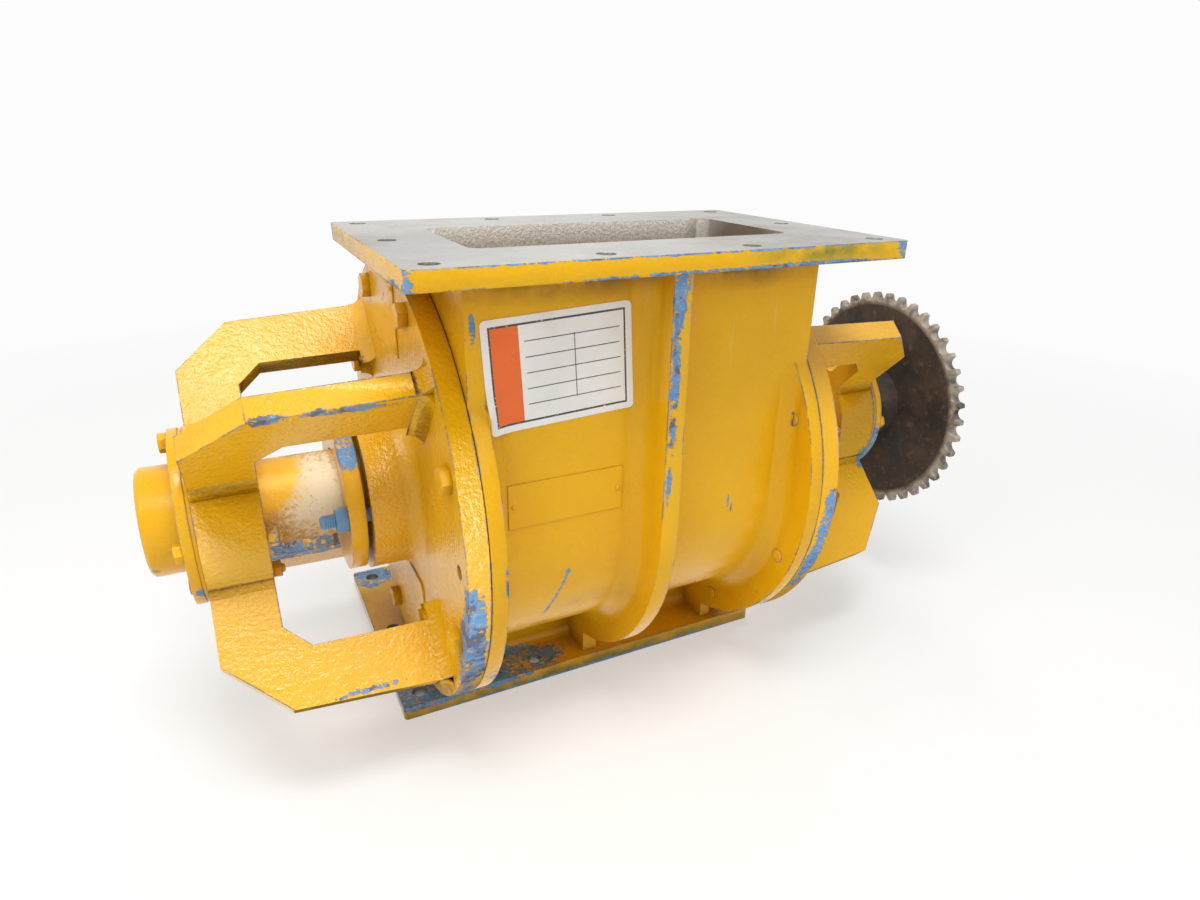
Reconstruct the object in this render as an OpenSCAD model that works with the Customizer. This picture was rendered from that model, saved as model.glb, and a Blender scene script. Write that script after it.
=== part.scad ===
// Rotary airlock valve with side-entry inlet, outboard bearings and a roller-chain drive.
// Frame: X runs along the shaft with the drive end at +X, Z is up.
// The origin lies on the outlet flange face, at mid body under the shaft axis.

/* [Chamber] */
// Width of the end flanges' ring outside the chamber bore
end_ring_w = 50.8; // [46:0.2:58]
// Length of the body between its machined end faces
chamber_len = 311; // [280:1:360]
// Thickness of the barrel wall
barrel_wall = 11.1; // [9:0.1:16]
// Room between the end flanges' rims and the port flanges
rim_gap = 10.5; // [8:0.5:30]

/* [Inlet and outlet] */
// Opening length along the shaft
port_len = 281; // [220:1:285]
// Opening width across the shaft
port_width = 128; // [90:1:135]
// Distance of each opening's centre from the plane of the shaft
port_offset = 75; // [60:1:80]
// Corner radius of the openings
port_corner = 10; // [4:1:20]
// Flange length along the shaft
flange_len = 408; // [400:1:440]
// Flange width across the shaft
flange_width = 273; // [270:1:300]
// Flange thickness
flange_t = 14.3; // [10:0.1:20]
// Corner radius of the flange outline
flange_corner = 4; // [1:1:12]
// Wall of the necks where they meet the flanges
neck_wall = 24; // [16:1:28]
// Wall of the necks below the flange
neck_thin_wall = 12; // [10:1:15]
// Bolt hole pitch along the shaft, four holes a side
port_hole_pitch = 122.6; // [118:0.1:130]
// Bolt hole spacing across the shaft
port_hole_span = 236; // [220:1:245]
// Bolt hole diameter
port_hole_d = 14.3; // [11:0.1:17]

/* [End flanges and ribs] */
// Outside diameter of the end flanges and end plates
end_flange_d = 406.4; // [400:0.4:420]
// Thickness of the cast end flanges
end_flange_t = 13; // [10:0.5:20]
// Outside diameter of the centre rib
rib_d = 396; // [376:1:400]
// Thickness of the centre rib
rib_t = 16; // [10:1:24]
// Radius of the cast fillets beside the ribs and flanges
cast_fillet = 18; // [8:1:20]
// Fillet between the front wall and the end flanges
wall_fillet = 14; // [6:1:16]
// Distance of the foot webs' free edges from the shaft plane
web_reach = 52; // [45:1:58]
// Distance from the end flanges' rim to the bolt circle
rim_margin = 19.2; // [16:0.1:24]
// Number of end plate bolts
end_bolts = 8; // [8]
// Diameter of the end plate bolts
end_bolt_d = 12.7; // [10:0.1:14]
// Width across flats of the end plate bolt heads
end_bolt_af = 19; // [16:0.5:21]
// Thickness of the end plate gaskets
gasket_t = 0.8; // [0.4:0.1:2]

/* [End plates] */
// Thickness of the end plates
plate_t = 18; // [14:1:24]
// Diameter of the stuffing box boss
boss_d = 150; // [144:1:156]
// Length of the stuffing box boss
boss_len = 41.5; // [38:0.5:50]
// Fillet between the boss and the end plate
boss_fillet = 14; // [6:1:16]
// Distance from the end plate to the bearing housing
arm_reach = 123.5; // [118:0.5:140]
// Thickness of the bracket arms
arm_t = 20; // [16:1:26]
// Distance of the arms' root inside the end plate's rim
arm_margin = 13.2; // [9:0.2:20]
// Outer radius of the arms above the housing
arm_tip_r = 181; // [170:1:186]
// Inner radius of the arms
arm_inner_r = 134; // [126:1:140]
// Size of the corner cut off the arms
arm_chamfer = 47; // [36:1:50]
// Size of the corner left inside the arms
arm_inner_chamfer = 20; // [8:1:24]
// Fillet radius at the arm roots
arm_fillet = 12; // [4:1:14]
// Diameter of the bearing housing
housing_d = 150; // [144:1:160]
// Length of the bearing housing
housing_len = 49.5; // [47:0.5:60]

/* [Shaft] */
// Shaft diameter through the rotor and the packing
shaft_d = 76.2; // [72:0.1:80]
// Bearing seat diameter
seat_d = 65; // [64:0.5:66]
// Shaft end diameter
shaft_end_d = 60; // [54:0.5:61]
// Length of the drive end beyond the bearing retainer
drive_reach = 74; // [72:1:100]
// Radial running clearance on the shaft
shaft_clear = 0.06; // [0.03:0.01:0.1]
// Width of the drive key
key_w = 18; // [14:1:20]
// Height of the drive key
key_h = 11; // [10:1:12]

/* [Rotor] */
// Number of rotor vanes
vanes = 8; // [6:1:10]
// Hub diameter
hub_d = 110; // [96:1:130]
// Vane thickness
vane_t = 10; // [8:1:14]
// Thickness of the renewable vane tips
tip_t = 6; // [5:1:8]
// Height of the vane tips
tip_h = 36; // [30:1:44]
// Gap between the vane tips and the bore
tip_clear = 0.5; // [0.3:0.1:1]
// Gap between the rotor and each end plate
end_clear = 0.6; // [0.3:0.1:1.5]
// Bolts in each vane tip
tip_bolts_each = 5; // [3:1:6]

/* [Bearings] */
// Outside diameter of the bearings
bearing_od = 120; // [118:0.5:122]
// Width of the bearings
bearing_w = 23; // [21:0.5:24]
// Number of balls
balls = 10; // [8:1:11]
// Ball diameter
ball_d = 16.6; // [15:0.1:17]
// Gap between balls and races
ball_clear = 0.15; // [0.1:0.05:0.3]
// Clearance of seated parts
seat_clear = 0.03; // [0.02:0.01:0.1]

/* [Gland] */
// Diameter of the stuffing box bore
box_d = 100; // [96:1:102]
// Depth of the stuffing box
box_depth = 36; // [30:1:38]
// Number of packing rings
packings = 3; // [2:1:3]
// Diameter of the gland follower flange
follower_d = 145; // [142:1:148]
// Thickness of the gland follower flange
follower_t = 14; // [10:1:18]
// Gap between the follower flange and the box
follower_gap = 4.3; // [2:0.1:6]
// Radius of the gland studs from the shaft axis
stud_r = 61; // [60:0.5:62]
// Diameter of the gland studs
stud_d = 12.7; // [10:0.1:13]

/* [Bearing caps] */
// Thickness of the shims under the caps
shim_t = 3; // [1:0.5:4]
// Thickness of the cap flanges
cap_flange_t = 8; // [6:0.5:12]
// Diameter of the closed cap
cap_d = 92; // [88:1:96]
// Length of the closed cap beyond its flange
cap_len = 28.5; // [26:0.5:34]
// Radius of the cap bolts from the shaft axis
cap_bolt_r = 67.3; // [66.5:0.1:68]
// Diameter of the cap bolts
cap_bolt_d = 9.5; // [8:0.1:10]

/* [Sprocket] */
// Number of sprocket teeth
teeth = 42; // [36:1:46]
// Chain pitch
pitch = 19.05; // [15.875:0.005:19.05]
// Chain roller diameter
roller_d = 11.9; // [10:0.1:12]
// Width of the teeth
tooth_w = 11.6; // [8:0.1:13]
// Hub diameter of the sprocket
sprocket_hub_d = 88; // [84:1:100]
// Length of the sprocket hub beside the teeth
sprocket_hub_len = 42; // [36:1:46]

/* [Plates] */
// Distance of the body plate's centre from mid body
nameplate_x = 77.5; // [70:0.5:80]
// Height of the body plate's lower edge above the shaft axis
nameplate_rise = 15; // [4:0.5:60]
// Length of the blank plate on the body
nameplate_len = 100; // [60:1:110]
// Height of the blank plate on the body
nameplate_h = 38; // [20:1:50]
// Width of the blank tag on the idle end plate
tag_w = 92; // [50:1:96]
// Height of the blank tag on the idle end plate
tag_h = 62; // [40:1:64]
// Distance of the tag's top edge inside the end plate's rim
tag_margin = 15.2; // [13:0.2:30]
// Distance of the tag's centre behind the shaft axis
tag_y = 12; // [0:1:14]

/* [Hidden] */
$fn = 96;

paint = "#f2b705";
undercoat = "#4f86b8";
steel = "#9a9a96";
rust = "#4a3a30";
eps = 0.01;

// Chamber and necks
axis_h = end_flange_d / 2 + flange_t + rim_gap;
chamber_d = end_flange_d - 2 * end_ring_w;
chamber_r = chamber_d / 2;
barrel_r = chamber_r + barrel_wall;
half_len = chamber_len / 2;
top_z = 2 * axis_h;
neck_half_y = port_width / 2 + neck_wall;
neck_half_x = half_len - 2.5;
end_flange_in = half_len - end_flange_t;
end_pcd = end_flange_d - 2 * rim_margin;
bolt_end = end_flange_in - 1.2;

// Stations along the shaft, measured outward from mid body on either side
plate_in = half_len + gasket_t;
plate_out = plate_in + plate_t;
boss_out = plate_out + boss_len;
box_in = boss_out - box_depth;
bearing_shoulder = 20.5;
arm_root_r = end_flange_d / 2 - arm_margin;
housing_in = plate_out + arm_reach;
housing_out = housing_in + housing_len;
cap_in = housing_out + shim_t;
cap_out = cap_in + cap_flange_t;
cap_end = cap_out + cap_len;
bearing_in = housing_in + bearing_shoulder;
bearing_out = bearing_in + bearing_w;
ball_x = (bearing_in + bearing_out) / 2;
ball_pitch_r = (seat_d + bearing_od) / 4;
ball_groove_r = ball_d / 2 + ball_clear;
grease_angle = 22.5;
grease_d = 6;
follower_in = boss_out + follower_gap;
follower_out = follower_in + follower_t;
seal_w = 10;
lip_wall = 3.5;
seal_in = housing_in + lip_wall;
seal_od = 95;
ring_w = 2.5;
shaft_drive_end = cap_out + drive_reach;
shaft_idle_end = cap_end - 15;
packing_w = 9.5;
packing_in = box_in;
packing_out = packing_in + packings * packing_w;
nose_end = packing_out + 0.2;
rotor_half = plate_in - end_clear;
shaft_r = shaft_d / 2;
bolt_head_t = 8;
gland_nut_t = 10.3;
gland_nut_af = 19;
stud_over = 12;
stud_depth = 22;
stud_end = follower_out + gland_nut_t + stud_over;
stud_root = boss_out - stud_depth;
cap_nut_t = 8.5;
cap_bolt_af = 14.3;
cap_head_t = 6.4;

// Everything on the shaft axis is drawn with its axis on the origin's X and lifted here
module lift() {
  translate([0, 0, axis_h]) children();
}

// A cylinder along X from a to b
module rod(a, b, d) {
  translate([a, 0, 0]) rotate([0, 90, 0]) cylinder(h = b - a, d = d);
}

// A ring along X from a to b
module sleeve(a, b, od, id) {
  difference() {
    rod(a, b, od);
    rod(a - 1, b + 1, id);
  }
}

// Turns a profile of [radius, station] points about X
module turned(profile) {
  rotate([0, 90, 0]) rotate_extrude() polygon(profile);
}

// Copies around X, the angle counted from +Y towards +Z
module around(count, radius, start = 0) {
  for (i = [0 : count - 1])
    rotate([start + i * 360 / count, 0, 0]) translate([0, radius, 0]) children();
}

// Mirrors a drive-side part to the idle side
module idle_side() {
  mirror([1, 0, 0]) children();
}

// A hexagonal prism along X from a to b
module hex_rod(a, b, af) {
  translate([a, 0, 0]) rotate([0, 90, 0]) cylinder(h = b - a, d = af / cos(30), $fn = 6);
}

// A concave corner piece: legs along +X and +Y, drawn up along Z
module corner_fillet(r, len) {
  linear_extrude(height = len)
    difference() {
      translate([-eps, -eps]) square(r + eps);
      translate([r, r]) circle(r = r);
    }
}

// A concave fillet ring round a cylinder of radius r0, standing on the face at x = at,
// on its +X side
module ring_fillet(at, r0, r) {
  rotate([0, 90, 0])
    rotate_extrude()
      difference() {
        translate([r0 - 1, at - eps]) square([r + 1, r + eps]);
        translate([r0 + r, at + r]) circle(r = r);
      }
}

// A rectangle with rounded corners, drawn with exact arcs
module rounded_rect(lx, ly, r) {
  square([lx - 2 * r, ly], center = true);
  square([lx, ly - 2 * r], center = true);
  for (sx = [-1, 1])
    for (sy = [-1, 1])
      translate([sx * (lx / 2 - r), sy * (ly / 2 - r)]) circle(r = r);
}

// ---------- Body casting ----------

// Places a port that faces up as the inlet, and again half a turn round X as the outlet
module both_ports() {
  for (turn = [0, 180])
    translate([0, 0, axis_h]) rotate([turn, 0, 0]) translate([0, -port_offset, -axis_h]) children();
}

// The web plane: a disc with straight sides up to the inlet flange and down to the outlet flange
module web_outline(r, side) {
  circle(r = r);
  for (turn = [0, 180])
    rotate(turn) translate([-side, 0]) square([side + web_reach, axis_h - flange_t / 2]);
}

// A web across the shaft from x = a to b
module web(a, b, r, side) {
  translate([a, 0, axis_h])
    rotate([90, 0, 90]) linear_extrude(height = b - a) web_outline(r, side);
}

module port_flange() {
  translate([0, 0, top_z - flange_t])
    linear_extrude(height = flange_t) rounded_rect(flange_len, flange_width, flange_corner);
}

module neck_block() {
  front = port_offset - barrel_r;
  round_r = 5;
  difference() {
    translate([-neck_half_x, front, axis_h])
      cube([2 * neck_half_x, neck_half_y - front, axis_h - flange_t / 2]);
    for (s = [0, 1])
      mirror([s, 0, 0])
        translate([-neck_half_x, front, axis_h - 1]) corner_fillet(round_r, axis_h);
  }
}

// Fillets under the flange, along both long sides of the neck
module flange_fillets() {
  r = min(cast_fillet, neck_wall) / 2;
  front = port_offset - barrel_r;
  translate([-neck_half_x, front, top_z - flange_t])
    rotate([0, 90, 0]) mirror([0, 1, 0]) corner_fillet(r, 2 * neck_half_x);
  translate([-neck_half_x, neck_half_y, top_z - flange_t])
    rotate([0, 90, 0]) corner_fillet(r, 2 * neck_half_x);
}

// Upright fillets where the neck's front wall meets the centre rib and the end flanges
module wall_fillets() {
  front = port_offset - barrel_r;
  for (s = [0, 1])
    mirror([s, 0, 0]) {
      translate([rib_t / 2, front, axis_h])
        mirror([0, 1, 0]) corner_fillet(cast_fillet, axis_h - flange_t);
      intersection() {
        translate([end_flange_in, front, axis_h])
          rotate([0, 0, 180]) corner_fillet(wall_fillet, axis_h - flange_t);
        translate([0, port_offset, axis_h]) rod(0, half_len, end_flange_d - 1);
      }
    }
}

// The throat: rounded opening at the flange, relieved below it to keep an even wall
module throat() {
  relief_half = neck_half_y - neck_thin_wall;
  relief_top = top_z - flange_t - 10;
  relief_low = relief_top - 30;
  translate([0, 0, axis_h])
    linear_extrude(height = axis_h + 1) rounded_rect(port_len, port_width, port_corner);
  translate([-port_len / 2 + port_corner, 0, 0])
    rotate([90, 0, 90])
      linear_extrude(height = port_len - 2 * port_corner)
        polygon([
          [-port_width / 2, relief_top], [-relief_half, relief_low], [-relief_half, axis_h + 20],
          [relief_half, axis_h + 20], [relief_half, relief_low], [port_width / 2, relief_top]
        ]);
}

module port_holes() {
  for (ix = [-1.5, -0.5, 0.5, 1.5])
    for (sy = [-1, 1])
      translate([ix * port_hole_pitch, sy * port_hole_span / 2, top_z - flange_t - 1])
        cylinder(h = flange_t + 2, d = port_hole_d);
  for (ix = [-1.5, 1.5])
    translate([ix * port_hole_pitch, 0, top_z - flange_t - 1])
      cylinder(h = flange_t + 2, d = port_hole_d);
}

module valve_body() {
  color(paint)
    difference() {
      union() {
        lift() rod(-half_len, half_len, 2 * barrel_r);
        both_ports() {
          neck_block();
          port_flange();
          flange_fillets();
          wall_fillets();
        }
        web(-rib_t / 2, rib_t / 2, rib_d / 2, rib_d / 2);
        for (s = [0, 1])
          mirror([s, 0, 0]) {
            web(end_flange_in, half_len, end_flange_d / 2, barrel_r);
            lift() ring_fillet(rib_t / 2, barrel_r, cast_fillet);
            lift() mirror([1, 0, 0]) ring_fillet(-end_flange_in, barrel_r, cast_fillet);
          }
      }
      lift() rod(-half_len - 1, half_len + 1, chamber_d);
      both_ports() throat();
      both_ports() port_holes();
      lift()
        around(end_bolts, end_pcd / 2, 180 / end_bolts)
          for (s = [0, 1])
            mirror([s, 0, 0]) rod(bolt_end - 0.3, half_len + 1, end_bolt_d + 2 * seat_clear);
    }
}

module body_nameplate() {
  plate = 0.8;
  color(paint)
    translate([-nameplate_x - nameplate_len / 2, -barrel_r - plate, axis_h + nameplate_rise])
      cube([nameplate_len, plate, nameplate_h]);
}

// ---------- End plates ----------

// An arm with its leg on the housing, drawn as [station, radius]
module arm_outline() {
  polygon([
    [plate_out - 1, arm_inner_r + 3], [plate_out - 1, arm_root_r],
    [housing_out - arm_chamfer, arm_tip_r], [housing_out, arm_tip_r - arm_chamfer],
    [housing_out, housing_d / 2 - 8], [housing_in, housing_d / 2 - 8],
    [housing_in, arm_inner_r - arm_inner_chamfer], [housing_in - arm_inner_chamfer, arm_inner_r]
  ]);
}

module arm() {
  housing_fillet = 7;
  linear_extrude(height = arm_t, center = true) arm_outline();
  // Root fillets beside the arm, above it and below it
  for (s = [0, 1])
    mirror([0, 0, s])
      translate([plate_out, arm_inner_r - arm_fillet, arm_t / 2])
        rotate([90, 0, 0]) mirror([0, 0, 1])
          corner_fillet(arm_fillet, arm_root_r - arm_inner_r + arm_fillet);
  translate([plate_out, arm_inner_r + 3, -arm_t / 2])
    mirror([0, 1, 0]) corner_fillet(arm_fillet, arm_t);
  translate([plate_out, arm_root_r, -arm_t / 2])
    corner_fillet(min(arm_fillet, end_flange_d / 2 - arm_root_r - 1), arm_t);
  // Fillets along the housing
  for (s = [0, 1])
    mirror([0, 0, s])
      translate([housing_in, sqrt(pow(housing_d / 2, 2) - pow(arm_t / 2 + 4, 2)), arm_t / 2])
        rotate([0, 90, 0]) rotate([0, 0, 90]) corner_fillet(housing_fillet, housing_len);
}

module end_plate() {
  jack_hole_d = 11;
  difference() {
    union() {
      rod(plate_in, plate_out, end_flange_d);
      rod(plate_out - 1, boss_out, boss_d);
      ring_fillet(plate_out, boss_d / 2, boss_fillet);
      rod(housing_in, housing_out, housing_d);
      for (a = [45, 135, 225, 315])
        rotate([a, 0, 0]) arm();
    }
    rod(plate_in - 1, box_in + 1, shaft_d + 1.2);
    rod(box_in, boss_out + 1, box_d);
    rod(housing_in - 1, housing_out, shaft_d + 2);
    rod(seal_in, housing_out, seal_od + 2 * seat_clear);
    rod(bearing_in, housing_out + 1, bearing_od + 2 * seat_clear);
    around(end_bolts, end_pcd / 2, 180 / end_bolts) rod(plate_in - 1, plate_out + 1, end_bolt_d + 1);
    around(2, end_pcd / 2) rod(plate_in - 1, plate_out + 1, jack_hole_d);
    around(2, stud_r) rod(stud_root - 2, boss_out + 1, stud_d + 2 * seat_clear);
    around(4, cap_bolt_r) rod(housing_in - 1, housing_out + 1, cap_bolt_d + 1);
    rotate([grease_angle, 0, 0])
      translate([ball_x, 0, 0]) rotate([-90, 0, 0]) cylinder(h = housing_d, d = grease_d);
  }
}

module drive_end_plate() {
  color(paint) lift() end_plate();
}

// Blank cast pad on the idle end plate's lower face
module cast_pad() {
  pad_t = 1.6;
  pad_l = 84;
  pad_w = 50;
  pad_y = -15;
  pad_z = -110;
  translate([-plate_out - pad_t, pad_y, pad_z])
    rotate([90, 0, 90]) linear_extrude(height = pad_t + 0.5) rounded_rect(pad_l, pad_w, 8);
}

module idle_end_plate() {
  color(paint)
    lift() {
      idle_side() end_plate();
      cast_pad();
    }
}

module end_gasket() {
  color("dimgray")
    lift()
      difference() {
        sleeve(half_len, plate_in, end_flange_d - 2, chamber_d);
        around(end_bolts, end_pcd / 2, 180 / end_bolts)
          rod(half_len - 1, plate_in + 1, end_bolt_d + 1);
      }
}

module drive_end_gasket() {
  end_gasket();
}

module idle_end_gasket() {
  idle_side() end_gasket();
}

module plate_bolts() {
  color(paint)
    lift()
      around(end_bolts, end_pcd / 2, 180 / end_bolts) {
        hex_rod(plate_out, plate_out + bolt_head_t, end_bolt_af);
        rod(bolt_end, plate_out + 1, end_bolt_d);
      }
}

module drive_plate_bolts() {
  plate_bolts();
}

module idle_plate_bolts() {
  idle_side() plate_bolts();
}

module end_tag() {
  tag_t = 1.2;
  color(paint)
    lift()
      translate([-plate_out - tag_t, tag_y - tag_w / 2, end_flange_d / 2 - tag_margin - tag_h]) cube([tag_t, tag_w, tag_h]);
}

// ---------- Stuffing boxes ----------

module packing() {
  color("dimgray")
    lift()
      for (i = [0 : packings - 1])
        sleeve(packing_in + i * packing_w, packing_in + (i + 1) * packing_w - 0.1,
               box_d - 2 * seat_clear, shaft_d + 2 * shaft_clear);
}

module drive_packing() {
  packing();
}

module idle_packing() {
  idle_side() packing();
}

module gland_follower() {
  nose_d = box_d - 1;
  color(paint)
    lift()
      difference() {
        union() {
          rod(follower_in, follower_out, follower_d);
          rod(nose_end, follower_in + 1, nose_d);
        }
        rod(nose_end - 1, follower_out + 1, shaft_d + 2);
        around(2, stud_r) rod(follower_in - 1, follower_out + 1, stud_d + 0.8);
      }
}

module drive_gland_follower() {
  gland_follower();
}

module idle_gland_follower() {
  idle_side() gland_follower();
}

module gland_studs() {
  color(undercoat)
    lift() around(2, stud_r) rod(stud_root, stud_end, stud_d);
}

module drive_gland_studs() {
  gland_studs();
}

module idle_gland_studs() {
  idle_side() gland_studs();
}

module gland_nuts() {
  color(undercoat)
    lift()
      around(2, stud_r)
        difference() {
          hex_rod(follower_out, follower_out + gland_nut_t, gland_nut_af);
          rod(follower_out - 1, follower_out + gland_nut_t + 1, stud_d + 2 * seat_clear);
        }
}

module drive_gland_nuts() {
  gland_nuts();
}

module idle_gland_nuts() {
  idle_side() gland_nuts();
}

// ---------- Bearings ----------

module housing_seal() {
  color("dimgray")
    lift() sleeve(seal_in, seal_in + seal_w, seal_od, shaft_d + 2 * shaft_clear);
}

module drive_housing_seal() {
  housing_seal();
}

module idle_housing_seal() {
  idle_side() housing_seal();
}

// The ball track, turned about X
module ball_track() {
  rotate([0, 90, 0])
    rotate_extrude() translate([ball_pitch_r, ball_x]) circle(r = ball_groove_r);
}

module outer_race() {
  color(steel)
    lift()
      difference() {
        sleeve(bearing_in, bearing_out, bearing_od, 2 * ball_pitch_r + 0.55 * ball_d);
        ball_track();
      }
}

module drive_bearing_outer_race() {
  outer_race();
}

module idle_bearing_outer_race() {
  idle_side() outer_race();
}

module inner_race() {
  color(steel)
    lift()
      difference() {
        sleeve(bearing_in, bearing_out, 2 * ball_pitch_r - 0.55 * ball_d, seat_d + 2 * seat_clear);
        ball_track();
      }
}

module drive_bearing_inner_race() {
  inner_race();
}

module idle_bearing_inner_race() {
  idle_side() inner_race();
}

module bearing_balls() {
  color("silver")
    lift() around(balls, ball_pitch_r) translate([ball_x, 0, 0]) sphere(d = ball_d);
}

module drive_bearing_balls() {
  bearing_balls();
}

module idle_bearing_balls() {
  idle_side() bearing_balls();
}

module bearing_cage() {
  cage_w = ball_d + 4;
  cage_t = 3;
  color("goldenrod")
    lift()
      difference() {
        sleeve(ball_x - cage_w / 2, ball_x + cage_w / 2,
               2 * ball_pitch_r + cage_t, 2 * ball_pitch_r - cage_t);
        around(balls, ball_pitch_r - ball_d / 2)
          translate([ball_x, 0, 0]) rotate([-90, 0, 0]) cylinder(h = ball_d, r = ball_groove_r);
      }
}

module drive_bearing_cage() {
  bearing_cage();
}

module idle_bearing_cage() {
  idle_side() bearing_cage();
}

groove_depth = 1.5;

module snap_ring() {
  ring_h = 6;
  gap = 6;
  inner_d = seat_d - 2 * groove_depth + 0.1;
  color(steel)
    lift()
      difference() {
        sleeve(bearing_out, bearing_out + ring_w, inner_d + 2 * ring_h, inner_d);
        translate([bearing_out - 1, -gap / 2, 0]) cube([ring_w + 2, gap, seat_d]);
      }
}

module drive_snap_ring() {
  snap_ring();
}

module idle_snap_ring() {
  idle_side() snap_ring();
}

// ---------- Bearing caps ----------

module cap_shim() {
  color("dimgray")
    lift()
      difference() {
        sleeve(housing_out, cap_in, housing_d - 2, bearing_od);
        around(4, cap_bolt_r) rod(housing_out - 1, cap_in + 1, cap_bolt_d + 0.6);
      }
}

module drive_cap_shim() {
  cap_shim();
}

module idle_cap_shim() {
  idle_side() cap_shim();
}

spigot_in = bearing_out + 0.3;
spigot_r = bearing_od / 2 - 0.15;
spigot_bore_r = bearing_od / 2 - 9;

module cap_bolt_holes() {
  around(4, cap_bolt_r) rod(cap_in - 1, cap_out + 1, cap_bolt_d + 0.6);
}

module idle_bearing_cap() {
  cap_wall = 5;
  cap_r = cap_d / 2;
  color(paint)
    lift()
      idle_side()
        difference() {
          turned([
            [0, cap_end], [cap_r - 3, cap_end], [cap_r, cap_end - 3], [cap_r, cap_out],
            [housing_d / 2, cap_out], [housing_d / 2, cap_in], [spigot_r, cap_in],
            [spigot_r, spigot_in], [spigot_bore_r, spigot_in], [spigot_bore_r, cap_in],
            [cap_r - cap_wall, cap_in], [cap_r - cap_wall, cap_end - cap_wall],
            [0, cap_end - cap_wall]
          ]);
          cap_bolt_holes();
        }
}

drive_seal_r = 40;

module drive_bearing_retainer() {
  color(paint)
    lift()
      difference() {
        turned([
          [shaft_end_d / 2 + 1, cap_out], [housing_d / 2, cap_out], [housing_d / 2, cap_in],
          [spigot_r, cap_in], [spigot_r, spigot_in], [spigot_bore_r, spigot_in],
          [spigot_bore_r, cap_in], [drive_seal_r + seat_clear, cap_in],
          [drive_seal_r + seat_clear, cap_out - 1.5], [shaft_end_d / 2 + 1, cap_out - 1.5]
        ]);
        cap_bolt_holes();
      }
}

module drive_shaft_seal() {
  color("dimgray")
    lift() sleeve(cap_in - 1.5, cap_out - 1.5, 2 * drive_seal_r, shaft_end_d + 2 * shaft_clear);
}

module cap_bolts() {
  color(paint)
    lift()
      around(4, cap_bolt_r) {
        hex_rod(cap_out, cap_out + cap_head_t, cap_bolt_af);
        rod(housing_in - cap_nut_t - 4, cap_out + 1, cap_bolt_d);
      }
}

module drive_cap_bolts() {
  cap_bolts();
}

module idle_cap_bolts() {
  idle_side() cap_bolts();
}

module cap_nuts() {
  color(paint)
    lift()
      around(4, cap_bolt_r)
        difference() {
          hex_rod(housing_in - cap_nut_t, housing_in, cap_bolt_af);
          rod(housing_in - cap_nut_t - 1, housing_in + 1, cap_bolt_d + 2 * seat_clear);
        }
}

module drive_cap_nuts() {
  cap_nuts();
}

module idle_cap_nuts() {
  idle_side() cap_nuts();
}

// Grease fitting on the rear of the housing
module grease_fitting() {
  color(steel)
    lift()
      rotate([grease_angle, 0, 0])
        translate([ball_x, housing_d / 2, 0])
        rotate([-90, 0, 0]) {
          translate([0, 0, -8]) cylinder(h = 8.5, d = grease_d - 2 * seat_clear);
          translate([0, 0, 0.4]) cylinder(h = 4, d = 10 / cos(30), $fn = 6);
          translate([0, 0, 4]) cylinder(h = 6, d = 5);
          translate([0, 0, 10]) sphere(d = 6.5);
        }
}

module drive_grease_fitting() {
  grease_fitting();
}

module idle_grease_fitting() {
  idle_side() grease_fitting();
}

// ---------- Rotor ----------

// One half of the stepped shaft, out to station e
module half_shaft(e) {
  rs = seat_d / 2;
  re = shaft_end_d / 2;
  turned([
    [0, -eps], [shaft_r, -eps], [shaft_r, bearing_in], [rs, bearing_in], [rs, bearing_out],
    [rs - groove_depth, bearing_out], [rs - groove_depth, bearing_out + ring_w],
    [rs, bearing_out + ring_w], [rs, bearing_out + ring_w + 3], [re, bearing_out + ring_w + 3],
    [re, e - 2], [re - 2, e], [0, e]
  ]);
}

key_in = cap_out + 18;
key_out = shaft_drive_end - 6;
key_base = shaft_end_d / 2 - 7;
rotor_key_w = 20;
rotor_key_h = 12;
rotor_key_len = 220;
rotor_key_base = shaft_r - 7.5;

module rotor_shaft() {
  color(rust)
    lift()
      difference() {
        union() {
          half_shaft(shaft_drive_end);
          idle_side() half_shaft(shaft_idle_end);
        }
        translate([key_in, -key_w / 2, key_base]) cube([key_out - key_in, key_w, shaft_end_d]);
        translate([-rotor_key_len / 2, -rotor_key_w / 2, rotor_key_base])
          cube([rotor_key_len, rotor_key_w, shaft_d]);
      }
}

module rotor_key() {
  color(steel)
    lift()
      translate([-rotor_key_len / 2 + 0.1, -rotor_key_w / 2 + 0.05, rotor_key_base + 0.05])
        cube([rotor_key_len - 0.2, rotor_key_w - 0.1, rotor_key_h]);
}

module drive_key() {
  color(steel)
    lift()
      translate([key_in + 0.2, -key_w / 2 + 0.05, key_base + 0.05])
        cube([key_out - key_in - 0.4, key_w - 0.1, key_h]);
}

module vane_array() {
  for (i = [0 : vanes - 1])
    rotate([i * 360 / vanes + 180 / vanes, 0, 0]) children();
}

tip_r = chamber_r - tip_clear;
vane_r = tip_r - 7;
vane_half = rotor_half - 0.5;
tip_bolt_d = 8;
tip_bolt_af = 13;
tip_bolt_r = tip_r - tip_h / 2 - 2;

module tip_bolt_places() {
  step = 2 * rotor_half / tip_bolts_each;
  vane_array()
    for (k = [0 : tip_bolts_each - 1])
      translate([-rotor_half + (k + 0.5) * step, tip_bolt_r, 0]) children();
}

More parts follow.
